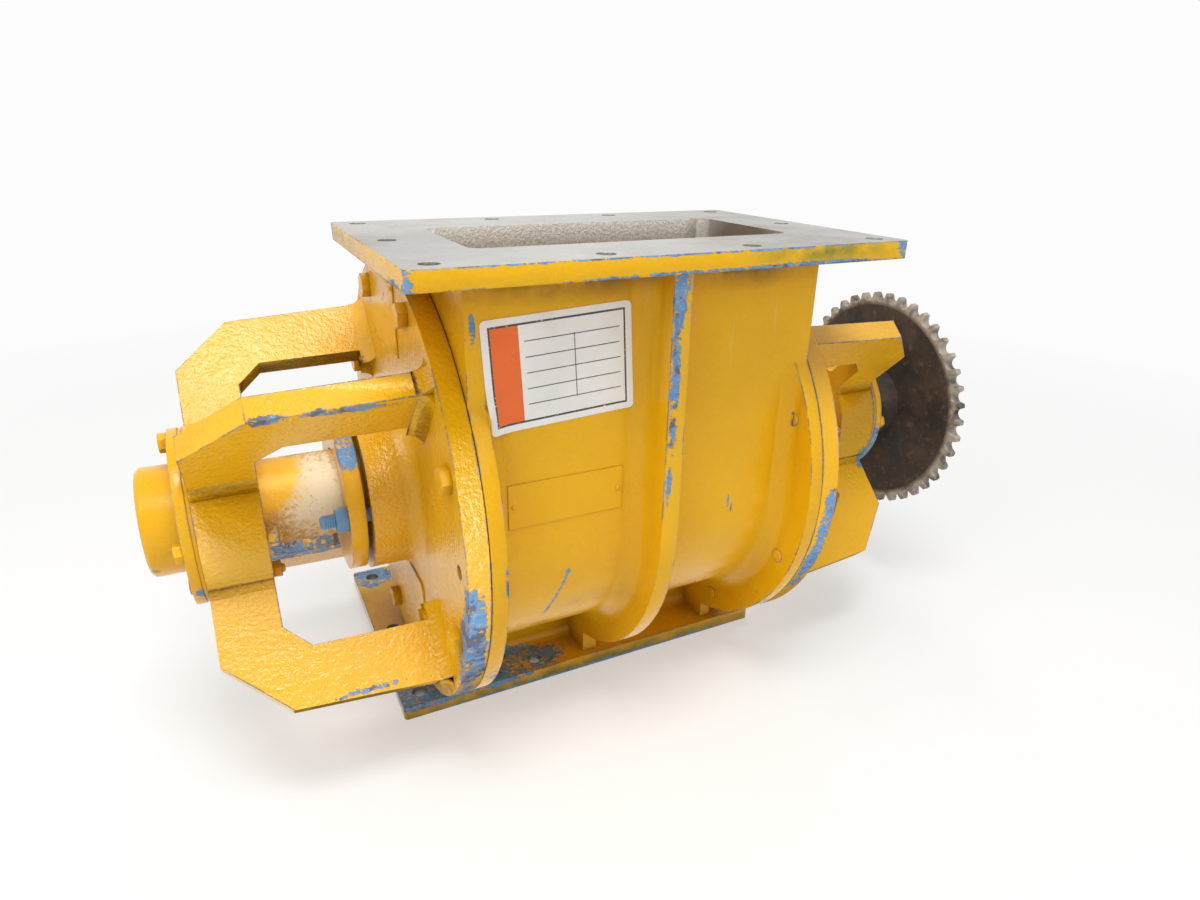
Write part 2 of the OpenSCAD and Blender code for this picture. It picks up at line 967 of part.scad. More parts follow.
module rotor_vanes() {
  color("silver")
    lift()
      difference() {
        union() {
          rod(-rotor_half, rotor_half, hub_d);
          vane_array()
            translate([-vane_half, hub_d / 2 - 3, -vane_t])
              cube([2 * vane_half, vane_r - hub_d / 2 + 3, vane_t]);
        }
        rod(-rotor_half - 1, rotor_half + 1, shaft_d + 2 * seat_clear);
        translate([-rotor_half - 1, -rotor_key_w / 2, 0])
          cube([2 * rotor_half + 2, rotor_key_w, rotor_key_base + rotor_key_h + 0.3]);
        tip_bolt_places() translate([0, 0, -vane_t - 1]) cylinder(h = vane_t + 2, d = tip_bolt_d + 0.5);
      }
}

module vane_tips() {
  color("goldenrod")
    lift()
      difference() {
        intersection() {
          rod(-rotor_half, rotor_half, 2 * tip_r);
          vane_array()
            translate([-rotor_half, tip_r - tip_h, 0]) cube([2 * rotor_half, tip_h + 1, tip_t]);
        }
        tip_bolt_places() translate([0, 0, -1]) cylinder(h = tip_t + 2, d = tip_bolt_d + 0.5);
      }
}

module tip_bolts() {
  color(steel)
    lift()
      tip_bolt_places() {
        translate([0, 0, tip_t]) cylinder(h = 5.3, d = tip_bolt_af / cos(30), $fn = 6);
        translate([0, 0, -vane_t - 9]) cylinder(h = vane_t + tip_t + 10, d = tip_bolt_d);
      }
}

module tip_nuts() {
  nut_t = 6.8;
  color(steel)
    lift()
      tip_bolt_places()
        difference() {
          translate([0, 0, -vane_t - nut_t]) cylinder(h = nut_t, d = tip_bolt_af / cos(30), $fn = 6);
          translate([0, 0, -vane_t - nut_t - 1]) cylinder(h = nut_t + 2, d = tip_bolt_d + 2 * seat_clear);
        }
}

// ---------- Sprocket ----------

pitch_r = pitch / 2 / sin(180 / teeth);
sprocket_r = pitch_r + 0.22 * pitch;
sprocket_out = shaft_drive_end - 5;
sprocket_in = sprocket_out - tooth_w;
sprocket_hub_in = sprocket_in - sprocket_hub_len;

// Roller seats with flared gaps between the teeth
module tooth_gaps() {
  seat = roller_d / 2 + 0.1;
  flare = 20;
  reach = 8;
  for (i = [0 : teeth - 1])
    rotate(i * 360 / teeth)
      translate([pitch_r, 0]) {
        circle(r = seat, $fn = 32);
        polygon([
          [0, -seat], [reach, -seat - reach * tan(flare)],
          [reach, seat + reach * tan(flare)], [0, seat]
        ]);
      }
}

module sprocket() {
  bevel = 2.6;
  bevel_r = sprocket_r - 9;
  keyway_top = key_base + key_h + 0.4;
  color(rust)
    lift()
      difference() {
        union() {
          intersection() {
            translate([sprocket_in, 0, 0])
              rotate([90, 0, 90])
                linear_extrude(height = tooth_w)
                  difference() {
                    circle(r = sprocket_r, $fn = 200);
                    tooth_gaps();
                  }
            turned([
              [0, sprocket_in - 1], [bevel_r, sprocket_in - 1], [bevel_r, sprocket_in],
              [sprocket_r + 1, sprocket_in + bevel], [sprocket_r + 1, sprocket_out - bevel],
              [bevel_r, sprocket_out], [bevel_r, sprocket_out + 1],
              [0, sprocket_out + 1]
            ]);
          }
          rod(sprocket_hub_in, sprocket_in + 1, sprocket_hub_d);
        }
        rod(sprocket_hub_in - 1, sprocket_out + 1, shaft_end_d + 2 * seat_clear);
        translate([sprocket_hub_in - 1, -key_w / 2, 0])
          cube([sprocket_out - sprocket_hub_in + 2, key_w, keyway_top]);
        set_screw_holes();
      }
}

set_screw_d = 10;
set_screw_x = sprocket_hub_in + 13;

module set_screw_holes() {
  for (a = [0, 90])
    rotate([a, 0, 0])
      translate([set_screw_x, 0, 0]) rotate([-90, 0, 0]) cylinder(h = sprocket_hub_d, d = set_screw_d + 2 * seat_clear);
}

module sprocket_set_screws() {
  bottom = [shaft_end_d / 2 + 0.2, key_base + key_h + 0.2];
  color(steel)
    lift()
      for (k = [0, 1])
        rotate([k * 90, 0, 0])
          translate([set_screw_x, 0, 0])
            rotate([-90, 0, 0])
              difference() {
                translate([0, 0, bottom[k]])
                  cylinder(h = sprocket_hub_d / 2 - 1 - bottom[k], d = set_screw_d);
                translate([0, 0, sprocket_hub_d / 2 - 5]) cylinder(h = 6, d = 5, $fn = 6);
              }
}

valve_body();
body_nameplate();
end_tag();
idle_end_gasket();
drive_end_gasket();
idle_end_plate();
drive_end_plate();
idle_plate_bolts();
drive_plate_bolts();
idle_packing();
drive_packing();
idle_gland_follower();
drive_gland_follower();
idle_gland_studs();
drive_gland_studs();
idle_gland_nuts();
drive_gland_nuts();
idle_housing_seal();
drive_housing_seal();
idle_bearing_outer_race();
drive_bearing_outer_race();
idle_bearing_inner_race();
drive_bearing_inner_race();
idle_bearing_balls();
drive_bearing_balls();
idle_bearing_cage();
drive_bearing_cage();
idle_snap_ring();
drive_snap_ring();
idle_cap_shim();
drive_cap_shim();
idle_bearing_cap();
drive_bearing_retainer();
drive_shaft_seal();
idle_cap_bolts();
drive_cap_bolts();
idle_cap_nuts();
drive_cap_nuts();
idle_grease_fitting();
drive_grease_fitting();
rotor_shaft();
rotor_vanes();
vane_tips();
tip_bolts();
tip_nuts();
rotor_key();
drive_key();
sprocket();
sprocket_set_screws();
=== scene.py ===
import math

import bpy
from mathutils import Euler, Matrix, Vector
from mathutils.bvhtree import BVHTree


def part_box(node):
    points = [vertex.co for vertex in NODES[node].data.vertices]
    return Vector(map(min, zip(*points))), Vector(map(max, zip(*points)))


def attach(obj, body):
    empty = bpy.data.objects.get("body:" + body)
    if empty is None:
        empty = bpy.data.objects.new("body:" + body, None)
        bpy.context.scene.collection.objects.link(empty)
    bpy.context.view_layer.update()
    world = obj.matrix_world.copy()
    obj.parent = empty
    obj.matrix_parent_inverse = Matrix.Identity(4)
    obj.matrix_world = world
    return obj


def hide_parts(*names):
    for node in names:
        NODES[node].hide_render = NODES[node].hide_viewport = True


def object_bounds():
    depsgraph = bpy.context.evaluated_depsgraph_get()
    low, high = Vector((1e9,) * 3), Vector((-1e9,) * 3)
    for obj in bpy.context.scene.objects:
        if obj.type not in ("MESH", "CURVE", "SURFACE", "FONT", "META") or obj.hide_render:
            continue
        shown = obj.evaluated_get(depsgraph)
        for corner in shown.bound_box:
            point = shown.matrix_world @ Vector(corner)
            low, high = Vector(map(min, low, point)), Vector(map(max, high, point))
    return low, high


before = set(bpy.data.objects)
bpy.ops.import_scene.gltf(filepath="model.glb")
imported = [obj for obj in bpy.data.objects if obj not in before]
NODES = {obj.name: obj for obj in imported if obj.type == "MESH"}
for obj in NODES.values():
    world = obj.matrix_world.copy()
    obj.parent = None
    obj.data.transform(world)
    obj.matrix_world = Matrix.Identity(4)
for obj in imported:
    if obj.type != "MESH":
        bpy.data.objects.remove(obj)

bl_info = {
    "name": "Rotary airlock valve",
    "version": (1, 0, 0),
    "blender": (4, 5, 0),
    "location": "3D View > Sidebar > Airlock",
    "description": "Dresses the rotary airlock valve: castings, fasteners, plates, paint, wear",
    "category": "Object",
}

CAD_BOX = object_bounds()
AXIS = Vector((0, 0, 0.228))
SIDES = (("idle", -1), ("drive", 1))
PORT_OFFSET = 0.075
BACKDROP = (0.975, 0.976, 0.975, 1)
# Port bolt holes about the port's own centre
PORT_HOLES = [(x * 0.1226, y * 0.118) for x in (-1.5, -0.5, 0.5, 1.5) for y in (-1, 1)]
PORT_HOLES += [(-0.1839, 0), (0.1839, 0)]
PLATE_BOLT_CIRCLE = 0.184
CAP_BOLT_CIRCLE = 0.0673
GLAND_CIRCLE = 0.061
# Planes that the paint spots refer to: front and rear edges of the upper flange, its top and
# its underside, and the top of the foot
FRONT, REAR = -0.2115, 0.0615
TOP, UNDER, FOOT = 0.4560, 0.4417, 0.0143


# ---------- Settings ----------

class AirlockPaint(bpy.types.PropertyGroup):
    yellow: bpy.props.FloatVectorProperty(
        name="Top coat", description="Colour of the yellow enamel", subtype="COLOR", size=3,
        default=(0.79, 0.436, 0.004), min=0, max=1)
    blue: bpy.props.FloatVectorProperty(
        name="Undercoat", description="Colour of the older blue coat where the yellow has gone",
        subtype="COLOR", size=3, default=(0.095, 0.245, 0.50), min=0, max=1)
    bare: bpy.props.FloatVectorProperty(
        name="Bare iron", description="Colour of the iron in the deepest chips", subtype="COLOR",
        size=3, default=(0.105, 0.090, 0.118), min=0, max=1)
    wear: bpy.props.FloatProperty(
        name="Edge wear", description="How much paint has gone from the edges", default=1.0,
        min=0, max=2)


class AirlockSizes(bpy.types.PropertyGroup):
    cast_edge: bpy.props.FloatProperty(
        name="Cast edge", description="Radius on the castings' edges", default=0.0013,
        min=0.0003, max=0.003, unit="LENGTH")
    machined_edge: bpy.props.FloatProperty(
        name="Machined edge", description="Radius on the turned parts' edges", default=0.0006,
        min=0.0002, max=0.002, unit="LENGTH")
    label_width: bpy.props.FloatProperty(
        name="Label width", description="Width of the blank label", default=0.120, min=0.05,
        max=0.13, unit="LENGTH")
    label_height: bpy.props.FloatProperty(
        name="Label height", description="Height of the blank label", default=0.086, min=0.04,
        max=0.1, unit="LENGTH")
    label_tilt: bpy.props.FloatProperty(
        name="Label tilt", description="How far the label was stuck on out of level",
        default=math.radians(3.2), subtype="ANGLE")


class AirlockStage(bpy.types.PropertyGroup):
    floor: bpy.props.FloatVectorProperty(
        name="Floor", description="Colour of the floor", subtype="COLOR", size=3,
        default=(0.86, 0.86, 0.85), min=0, max=1)
    key_power: bpy.props.FloatProperty(
        name="Key light", description="Power of the large soft light at the upper left",
        default=16, min=0, max=100, unit="POWER")


# ---------- Mesh helpers ----------

def only(obj):
    """Selects one object and makes it active"""
    bpy.ops.object.select_all(action="DESELECT")
    obj.select_set(True)
    bpy.context.view_layer.objects.active = obj


def edit(obj, mode="FACE"):
    only(obj)
    bpy.ops.object.mode_set(mode="EDIT")
    bpy.ops.mesh.select_mode(type=mode)


def done():
    bpy.ops.object.mode_set(mode="OBJECT")


def apply_modifier(obj, kind, **values):
    only(obj)
    bpy.ops.object.modifier_add(type=kind)
    modifier = obj.modifiers[-1]
    for name, value in values.items():
        setattr(modifier, name, value)
    bpy.ops.object.modifier_apply(modifier=modifier.name)


def smooth(obj, angle=35):
    only(obj)
    bpy.ops.object.shade_smooth_by_angle(angle=math.radians(angle))


def apply_place(obj):
    only(obj)
    bpy.ops.object.transform_apply(location=True, rotation=True, scale=True)


def finish_piece(obj, name, body, material, replaces=()):
    obj.name = obj.data.name = name
    if material is not None:
        obj.data.materials.clear()
        obj.data.materials.append(material)
    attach(obj, body)
    if replaces:
        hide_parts(*replaces)
    return obj


def flatten(obj, width=0.018, angle=38):
    """Keeps the shading of wide flat faces flat up to their rounded edges"""
    mesh = obj.data
    flats = {}
    for face in mesh.polygons:
        away = face.center.dot(face.normal)
        key = (*(round(k, 2) for k in face.normal), round(away, 4))
        flats.setdefault(key, []).append(face.index)
    best = {}
    for group in flats.values():
        area = sum(mesh.polygons[i].area for i in group)
        corners = {v for i in group for v in mesh.polygons[i].vertices}
        points = [mesh.vertices[v].co for v in corners]
        middle = sum(points, Vector()) / len(points)
        across = 2 * max((point - middle).length for point in points)
        if area < width * across:
            continue
        normal = mesh.polygons[group[0]].normal.copy()
        for vertex in corners:
            best.setdefault(vertex, []).append((area, normal))
    for choices in best.values():
        choices.sort(key=lambda choice: -choice[0])
    limit = math.cos(math.radians(angle))
    normals = [corner.vector.copy() for corner in mesh.corner_normals]
    for face in mesh.polygons:
        for loop in face.loop_indices:
            for _, normal in best.get(mesh.loops[loop].vertex_index, ()):
                if normal.dot(face.normal) > limit:
                    normals[loop] = normal
                    break
    mesh.normals_split_custom_set(normals)


def node_copy(node, name, edge=0.0, merge=0.00002, segments=2):
    """A merged copy of a CAD node with its sharp edges rounded"""
    mesh = NODES[node].data.copy()
    obj = bpy.data.objects.new(name, mesh)
    bpy.context.scene.collection.objects.link(obj)
    edit(obj)
    bpy.ops.mesh.select_all(action="SELECT")
    bpy.ops.mesh.remove_doubles(threshold=merge)
    bpy.ops.mesh.dissolve_limited(angle_limit=math.radians(0.6))
    done()
    if edge:
        apply_modifier(obj, "BEVEL", width=edge, segments=segments, limit_method="ANGLE",
                       angle_limit=math.radians(38), use_clamp_overlap=True)
    smooth(obj, 38)
    flatten(obj)
    return obj


def copies(source, places, name):
    """Copies one modelled piece to each place and joins the copies"""
    made = []
    for place in places:
        item = bpy.data.objects.new(name, source.data.copy())
        item.data.transform(place)
        bpy.context.scene.collection.objects.link(item)
        made.append(item)
    bpy.data.objects.remove(source)
    bpy.ops.object.select_all(action="DESELECT")
    for item in made:
        item.select_set(True)
    bpy.context.view_layer.objects.active = made[0]
    if len(made) > 1:
        bpy.ops.object.join()
    return made[0]


def turned(name, profile, segments=64, closed=True):
    """A body turned about X: the profile is a list of (station, radius), ends capped"""
    (x0, r0), rest = profile[0], profile[1:]
    bpy.ops.object.select_all(action="DESELECT")
    bpy.ops.mesh.primitive_circle_add(
        vertices=segments, radius=r0, fill_type="NGON" if closed else "NOTHING",
        location=(x0, 0, 0), rotation=(0, math.pi / 2, 0))
    obj = bpy.context.object
    apply_place(obj)
    edit(obj)
    bpy.ops.mesh.select_all(action="SELECT")
    x, r = x0, r0
    for nx, nr in rest:
        bpy.ops.mesh.extrude_region_move(TRANSFORM_OT_translate={"value": (nx - x, 0, 0)})
        if nr != r:
            scale = nr / r
            bpy.ops.transform.resize(value=(1, scale, scale), center_override=(nx, 0, 0))
        x, r = nx, nr
    bpy.ops.mesh.select_all(action="SELECT")
    bpy.ops.mesh.normals_make_consistent(inside=False)
    done()
    obj.name = name
    return obj


def on_axis(angle, radius, x=0.0, side=1):
    """Place on the shaft's circle: angle from +Y towards +Z, turned about for the idle side"""
    turn = Matrix.Identity(4) if side > 0 else Matrix.Rotation(math.pi, 4, "Z")
    local = Matrix.Translation((x, 0, 0))
    y = radius * math.cos(math.radians(angle))
    z = radius * math.sin(math.radians(angle))
    if side < 0:
        y = -y
    return Matrix.Translation(AXIS) @ turn @ Matrix.Translation((0, y, z)) @ local


# ---------- Material helpers ----------

class Nodes:
    """Short calls for building a node tree"""

    def __init__(self, name):
        self.material = bpy.data.materials.new(name)
        self.material.use_nodes = True
        self.tree = self.material.node_tree
        self.tree.nodes.clear()
        self.output = self.tree.nodes.new("ShaderNodeOutputMaterial")
        self.shader = self.tree.nodes.new("ShaderNodeBsdfPrincipled")
        self.tree.links.new(self.shader.outputs[0], self.output.inputs[0])
        self.place = self.tree.nodes.new("ShaderNodeTexCoord").outputs["Object"]

    def put(self, socket, value):
        if isinstance(value, bpy.types.NodeSocket):
            self.tree.links.new(value, socket)
        elif hasattr(value, "__len__") and len(value) == 3 and socket.type == "RGBA":
            socket.default_value = (*value, 1)
        else:
            socket.default_value = value

    def add(self, kind, inputs=(), out=0, **settings):
        node = self.tree.nodes.new("ShaderNode" + kind)
        for name, value in settings.items():
            setattr(node, name, value)
        for name, value in dict(inputs).items():
            self.put(node.inputs[name], value)
        return node.outputs[out]

    def math(self, how, a, b=0.0, c=0.0, clamp=False):
        return self.add("Math", {0: a, 1: b, 2: c}, operation=how, use_clamp=clamp)

    def times(self, a, b, clamp=False):
        return self.math("MULTIPLY", a, b, clamp=clamp)

    def plus(self, a, b):
        return self.math("ADD", a, b)

    def noise(self, scale, detail=3, rough=0.55, place=None, distort=0.0):
        return self.add("TexNoise", {
            "Vector": place or self.place, "Scale": scale, "Detail": detail, "Roughness": rough,
            "Distortion": distort})

    def ramp(self, value, low, high, to_low=0.0, to_high=1.0):
        return self.add("MapRange", {"Value": value, "From Min": low, "From Max": high,
                                     "To Min": to_low, "To Max": to_high}, clamp=True)

    def mix(self, factor, a, b):
        node = self.tree.nodes.new("ShaderNodeMix")
        node.data_type = "RGBA"
        self.put(node.inputs["Factor"], factor)
        self.put(node.inputs["A"], a)
        self.put(node.inputs["B"], b)
        return node.outputs["Result"]

    def blend_value(self, factor, a, b):
        node = self.tree.nodes.new("ShaderNodeMix")
        node.data_type = "FLOAT"
        self.put(node.inputs[0], factor)
        self.put(node.inputs[2], a)
        self.put(node.inputs[3], b)
        return node.outputs[0]

    def stretch(self, scale, turn=(0, 0, 0), shift=(0, 0, 0)):
        return self.add("Mapping", {"Vector": self.place, "Scale": scale, "Rotation": turn,
                                    "Location": shift})

    def bump(self, height, distance, strength=1.0, normal=None):
        inputs = {"Height": height, "Distance": distance, "Strength": strength}
        if normal is not None:
            inputs["Normal"] = normal
        return self.add("Bump", inputs)

    def edge(self, radius):
        """0 on flats, rising towards 1 on convex and concave edges"""
        rounded = self.add("Bevel", {"Radius": radius}, samples=6)
        true = self.add("NewGeometry", out=1)
        dot = self.add("VectorMath", {0: rounded, 1: true}, out=1, operation="DOT_PRODUCT")
        return self.math("SUBTRACT", 1.0, dot, clamp=True)

    def spot(self, centre, reach):
        """1 at a place, falling to 0 at the reach given for each axis"""
        away = self.add("VectorMath", {0: self.place, 1: centre}, operation="SUBTRACT")
        scaled = self.add("VectorMath", {0: away, 1: [1 / r for r in reach]}, operation="MULTIPLY")
        length = self.add("VectorMath", {0: scaled}, out=1, operation="LENGTH")
        return self.math("SUBTRACT", 1.0, length, clamp=True)

    def set(self, **values):
        for name, value in values.items():
            self.put(self.shader.inputs[name.replace("_", " ")], value)
        return self.material


def enamel(name, grain=1.0, patches=(), thin=(), streaks=(), soil_and_shade=(), wear=1.0, dirt_and_shade=0.35,
           tint=None, gloss=0.30, primer=0.0, cuts=()):
    """Thick glossy enamel over an old blue coat on cast iron, chipped at its edges and at the
    patches, cut through along cuts, thin and greenish where thin says, with pale runs where
    streaks says, and darkened towards brown by painted shade and dirt in its hollows and at
    the listed spots"""
    paint = bpy.context.scene.airlock_paint
    top = tint or tuple(paint.yellow)
    n = Nodes(name)
    edge = n.edge(0.0032)
    flake = n.noise(215, 8, 0.72, distort=0.4)
    blotch = n.noise(38, 4, 0.6)
    fine = n.noise(420, 4, 0.6)
    broad = n.noise(9, 3, 0.5)

    def over(spots, start=0.0):
        total = start
        for centre, reach, amount in spots:
            total = n.plus(total, n.times(n.spot(centre, reach), amount))
        return total

    # paint gone where the edge, the patches and the flake pattern together pass a level
    clear = n.add("AmbientOcclusion", {"Distance": 0.006}, out=1, samples=4)
    edge_part = n.times(n.ramp(edge, 0.012, 0.14), n.ramp(n.noise(15, 4, 0.6), 0.38, 0.60))
    edge_part = n.times(edge_part, n.ramp(clear, 0.72, 0.90))
    gone = over(patches, n.times(edge_part, 0.34 * wear * paint.wear))
    level = n.plus(n.math("MINIMUM", gone, 0.250), n.times(flake, 0.62))
    level = n.plus(level, n.times(blotch, 0.26))
    if cuts:
        level = n.plus(level, over(cuts))
    chip = n.ramp(level, 0.645, 0.655)
    deep = n.plus(n.noise(70, 6, 0.66), n.times(edge_part, 0.16))
    deep = n.ramp(deep, 0.62 - primer, 0.66 - primer)
    # painted shade and dirt in the corners, hollows and under overhangs, found by ambient occlusion
    hollow = n.add("AmbientOcclusion", {"Distance": 0.030}, out=1, samples=6)
    shade_and_grime = n.times(n.ramp(hollow, 0.88, 0.30), dirt_and_shade)
    # painted shade and dirt from the listed spots, such as the shadow under the upper flange
    if soil_and_shade:
        shade_and_soil_film = n.times(over(soil_and_shade), n.ramp(n.noise(26, 4, 0.6), 0.25, 0.55), clamp=True)
        shade_and_grime = n.math("MAXIMUM", shade_and_grime, shade_and_soil_film)
    # the colour drifts a little, with paler specks on the high points of the skin
    warm = n.mix(n.ramp(broad, 0.35, 0.65), top, [c * k for c, k in zip(top, (0.93, 0.87, 0.8))])
    warm = n.mix(n.times(n.ramp(fine, 0.40, 0.70), 0.12), warm,
                 [min(1, c * 1.15 + k) for c, k in zip(top, (0.05, 0.12, 0.04))])
    if thin:
        veil = n.times(over(thin), n.ramp(n.noise(48, 5, 0.62), 0.34, 0.60), clamp=True)
        warm = n.mix(veil, warm, (0.195, 0.205, 0.028))
    if streaks:
        run = n.ramp(n.noise(1.0, 5, 0.62, n.stretch((210, 210, 14))), 0.54, 0.66)
        run = n.times(run, n.times(over(streaks), 1.6, clamp=True), clamp=True)
        warm = n.mix(n.times(run, 0.45), warm, (0.86, 0.66, 0.30))
    # painted shade and dirt: the colour is darkened towards brown in the hollows and at the listed
    # spots
    shaded_and_dirty = n.mix(shade_and_grime, warm, (0.150, 0.068, 0.006))
    under = n.mix(n.ramp(n.noise(55, 5, 0.62), 0.38, 0.64), tuple(paint.blue),
                  [c * k for c, k in zip(paint.blue, (1.65, 1.30, 1.08))])
    pale = n.times(n.ramp(n.noise(330, 5, 0.65), 0.56, 0.64), 0.45)
    under = n.mix(pale, under, (0.52, 0.58, 0.58))
    under = n.mix(n.times(deep, 0.85), under, tuple(paint.bare))
    colour = n.mix(chip, shaded_and_dirty, under)
    # cast skin under the paint, and the paint's own thickness at a chip
    lumps = n.noise(300, 3, 0.5)
    ripples = n.noise(95, 3, 0.5)
    normal = n.bump(n.noise(30, 3, 0.5), 0.0012 * grain, 0.30,
                    n.add("Bevel", {"Radius": 0.0012}, samples=4))
    normal = n.bump(ripples, 0.0008 * grain, 0.55, normal)
    normal = n.bump(lumps, 0.00062 * grain, 0.85, normal)
    normal = n.bump(n.math("SUBTRACT", 1.0, chip), 0.00022, 0.9, normal)
    shine = n.ramp(n.noise(24, 3), 0.3, 0.7, 0.17, 0.30)
    shine = n.blend_value(chip, shine, 0.58)
    return n.set(Base_Color=colour, Roughness=shine, Normal=normal, Specular_IOR_Level=gloss)


def machined(name, colour=(0.56, 0.55, 0.53), rough=0.30, stains=(0.16, 0.11, 0.075), swirl=True):
    """Faced iron or steel with fine tool marks and faint brown stains"""
    n = Nodes(name)
    marks = n.noise(520, 3, 0.6, n.stretch((1, 0.03, 1), (0, 0, 0.5)) if swirl else n.place)
    stain = n.ramp(n.noise(14, 5, 0.62), 0.50, 0.72)
    speck = n.ramp(n.noise(190, 4, 0.6), 0.60, 0.72)
    base = n.mix(n.ramp(n.noise(6, 3), 0.35, 0.65), colour, [c * 0.72 for c in colour])
    base = n.mix(n.times(stain, 0.45), base, stains)
    base = n.mix(n.times(speck, 0.35), base, [c * 0.45 for c in stains])
    rough_map = n.plus(n.ramp(n.noise(30, 4), 0.3, 0.7, rough - 0.07, rough + 0.10),
                       n.times(stain, 0.18))
    normal = n.bump(marks, 0.00006, 0.6, n.add("Bevel", {"Radius": 0.0006}, samples=4))
    normal = n.bump(n.noise(60, 4), 0.00010, 0.3, normal)
    return n.set(Base_Color=base, Metallic=0.85, Roughness=rough_map, Normal=normal)


def cast_bare(name):
    """Unpainted sand-cast iron, grey with a pale dusty film"""
    n = Nodes(name)
    lumps = n.noise(430, 5, 0.62)
    dust = n.ramp(n.noise(16, 5, 0.6), 0.38, 0.66)
    base = n.mix(n.ramp(lumps, 0.34, 0.66), (0.62, 0.575, 0.51), (0.95, 0.92, 0.855))
    base = n.mix(n.times(dust, 0.45), base, (0.84, 0.80, 0.72))
    base = n.mix(n.times(n.ramp(n.noise(9, 4), 0.58, 0.72), 0.45), base, (0.50, 0.38, 0.18))
    shade = n.times(n.spot((0.141, -0.075, 0.42), (0.030, 0.120, 0.120)), 1.5, clamp=True)
    base = n.mix(shade, base, (0.17, 0.135, 0.10))
    normal = n.bump(lumps, 0.0009, 0.9)
    return n.set(Base_Color=base, Metallic=0.1, Roughness=0.42, Normal=normal)


def rusted(name, dark=(0.034, 0.029, 0.026), brown=(0.098, 0.066, 0.046),
           pale=(0.21, 0.185, 0.155), rim=None):
    """Dull rust over steel; with rim (inner, outer radius) the outer band is rubbed paler"""
    n = Nodes(name)
    mottle = n.noise(34, 7, 0.66, distort=0.3)
    base = n.mix(n.ramp(mottle, 0.38, 0.66), dark, brown)
    base = n.mix(n.times(n.ramp(n.noise(110, 5, 0.6), 0.56, 0.74), 0.5), base, pale)
    if rim:
        local = n.add("VectorMath", {0: n.place, 1: AXIS}, operation="SUBTRACT")
        flat = n.add("VectorMath", {0: local, 1: (0, 1, 1)}, operation="MULTIPLY")
        away = n.add("VectorMath", {0: flat}, out=1, operation="LENGTH")
        band = n.times(n.ramp(away, rim[0], rim[1]), n.ramp(n.noise(60, 5, 0.6), 0.30, 0.55))
        base = n.mix(band, base, (0.42, 0.375, 0.31))
        edge = n.ramp(n.edge(0.0012), 0.05, 0.4)
        base = n.mix(n.times(n.times(edge, band), 0.7), base, (0.68, 0.65, 0.58))
    normal = n.bump(n.noise(260, 6, 0.7), 0.00050, 0.8,
                    n.add("Bevel", {"Radius": 0.0006}, samples=4))
    normal = n.bump(mottle, 0.0006, 0.4, normal)
    rough = n.ramp(mottle, 0.35, 0.65, 0.62, 0.80)
    return n.set(Base_Color=base, Metallic=0.35, Roughness=rough, Normal=normal)


def plain(name, colour, rough=0.5, metal=0.0, grain=300.0, depth=0.00015, vary=0.75):
    """A quiet finish with its own grain, for inner and small parts"""
    n = Nodes(name)
    speck = n.noise(grain, 5, 0.6)
    base = n.mix(n.ramp(n.noise(40, 4), 0.35, 0.65), colour, [c * vary for c in colour])
    base = n.mix(n.times(n.ramp(speck, 0.55, 0.75), 0.35), base, [c * 0.5 for c in colour])
    normal = n.bump(speck, depth, 0.7)
    shine = n.ramp(speck, 0.3, 0.7, rough * 0.85, min(1, rough * 1.15))
    return n.set(Base_Color=base, Metallic=metal, Roughness=shine, Normal=normal)


def shaft_finish(name):
    """Shaft with brown rust, pale dust and yellow overspray on its top towards the idle end"""
    n = Nodes(name)
    mottle = n.ramp(n.noise(60, 6, 0.65), 0.35, 0.65)
    rust = n.mix(mottle, (0.40, 0.205, 0.035), (0.62, 0.36, 0.075))
    ends = [n.spot((x, -0.028, 0.240), (0.050, 0.060, 0.060)) for x in (-0.252, 0.252)]
    bare = n.times(n.math("MAXIMUM", *ends), 0.55)
    dust = n.ramp(n.plus(n.noise(230, 7, 0.78, distort=0.3), bare), 0.60, 0.80)
    base = n.mix(n.times(dust, 0.88), rust, (0.80, 0.70, 0.50))
    pitting = n.ramp(n.noise(340, 5, 0.7), 0.60, 0.68)
    base = n.mix(n.times(pitting, 0.7), base, (0.20, 0.11, 0.045))
    spray = n.math("MAXIMUM", n.spot((-0.296, -0.020, 0.262), (0.055, 0.075, 0.050)),
                   n.spot((0.296, 0.020, 0.262), (0.055, 0.075, 0.050)))
    spatter = n.times(n.noise(90, 6, 0.7), 0.7)
    over = n.ramp(n.plus(n.times(spray, 0.9), spatter), 0.62, 0.78)
    yellow = tuple(bpy.context.scene.airlock_paint.yellow)
    base = n.mix(over, base, yellow)
    normal = n.bump(n.noise(240, 6, 0.7), 0.0007, 0.9)
    shine = n.blend_value(over, 0.75, 0.35)
    return n.set(Base_Color=base, Metallic=0.1, Roughness=shine, Normal=normal)


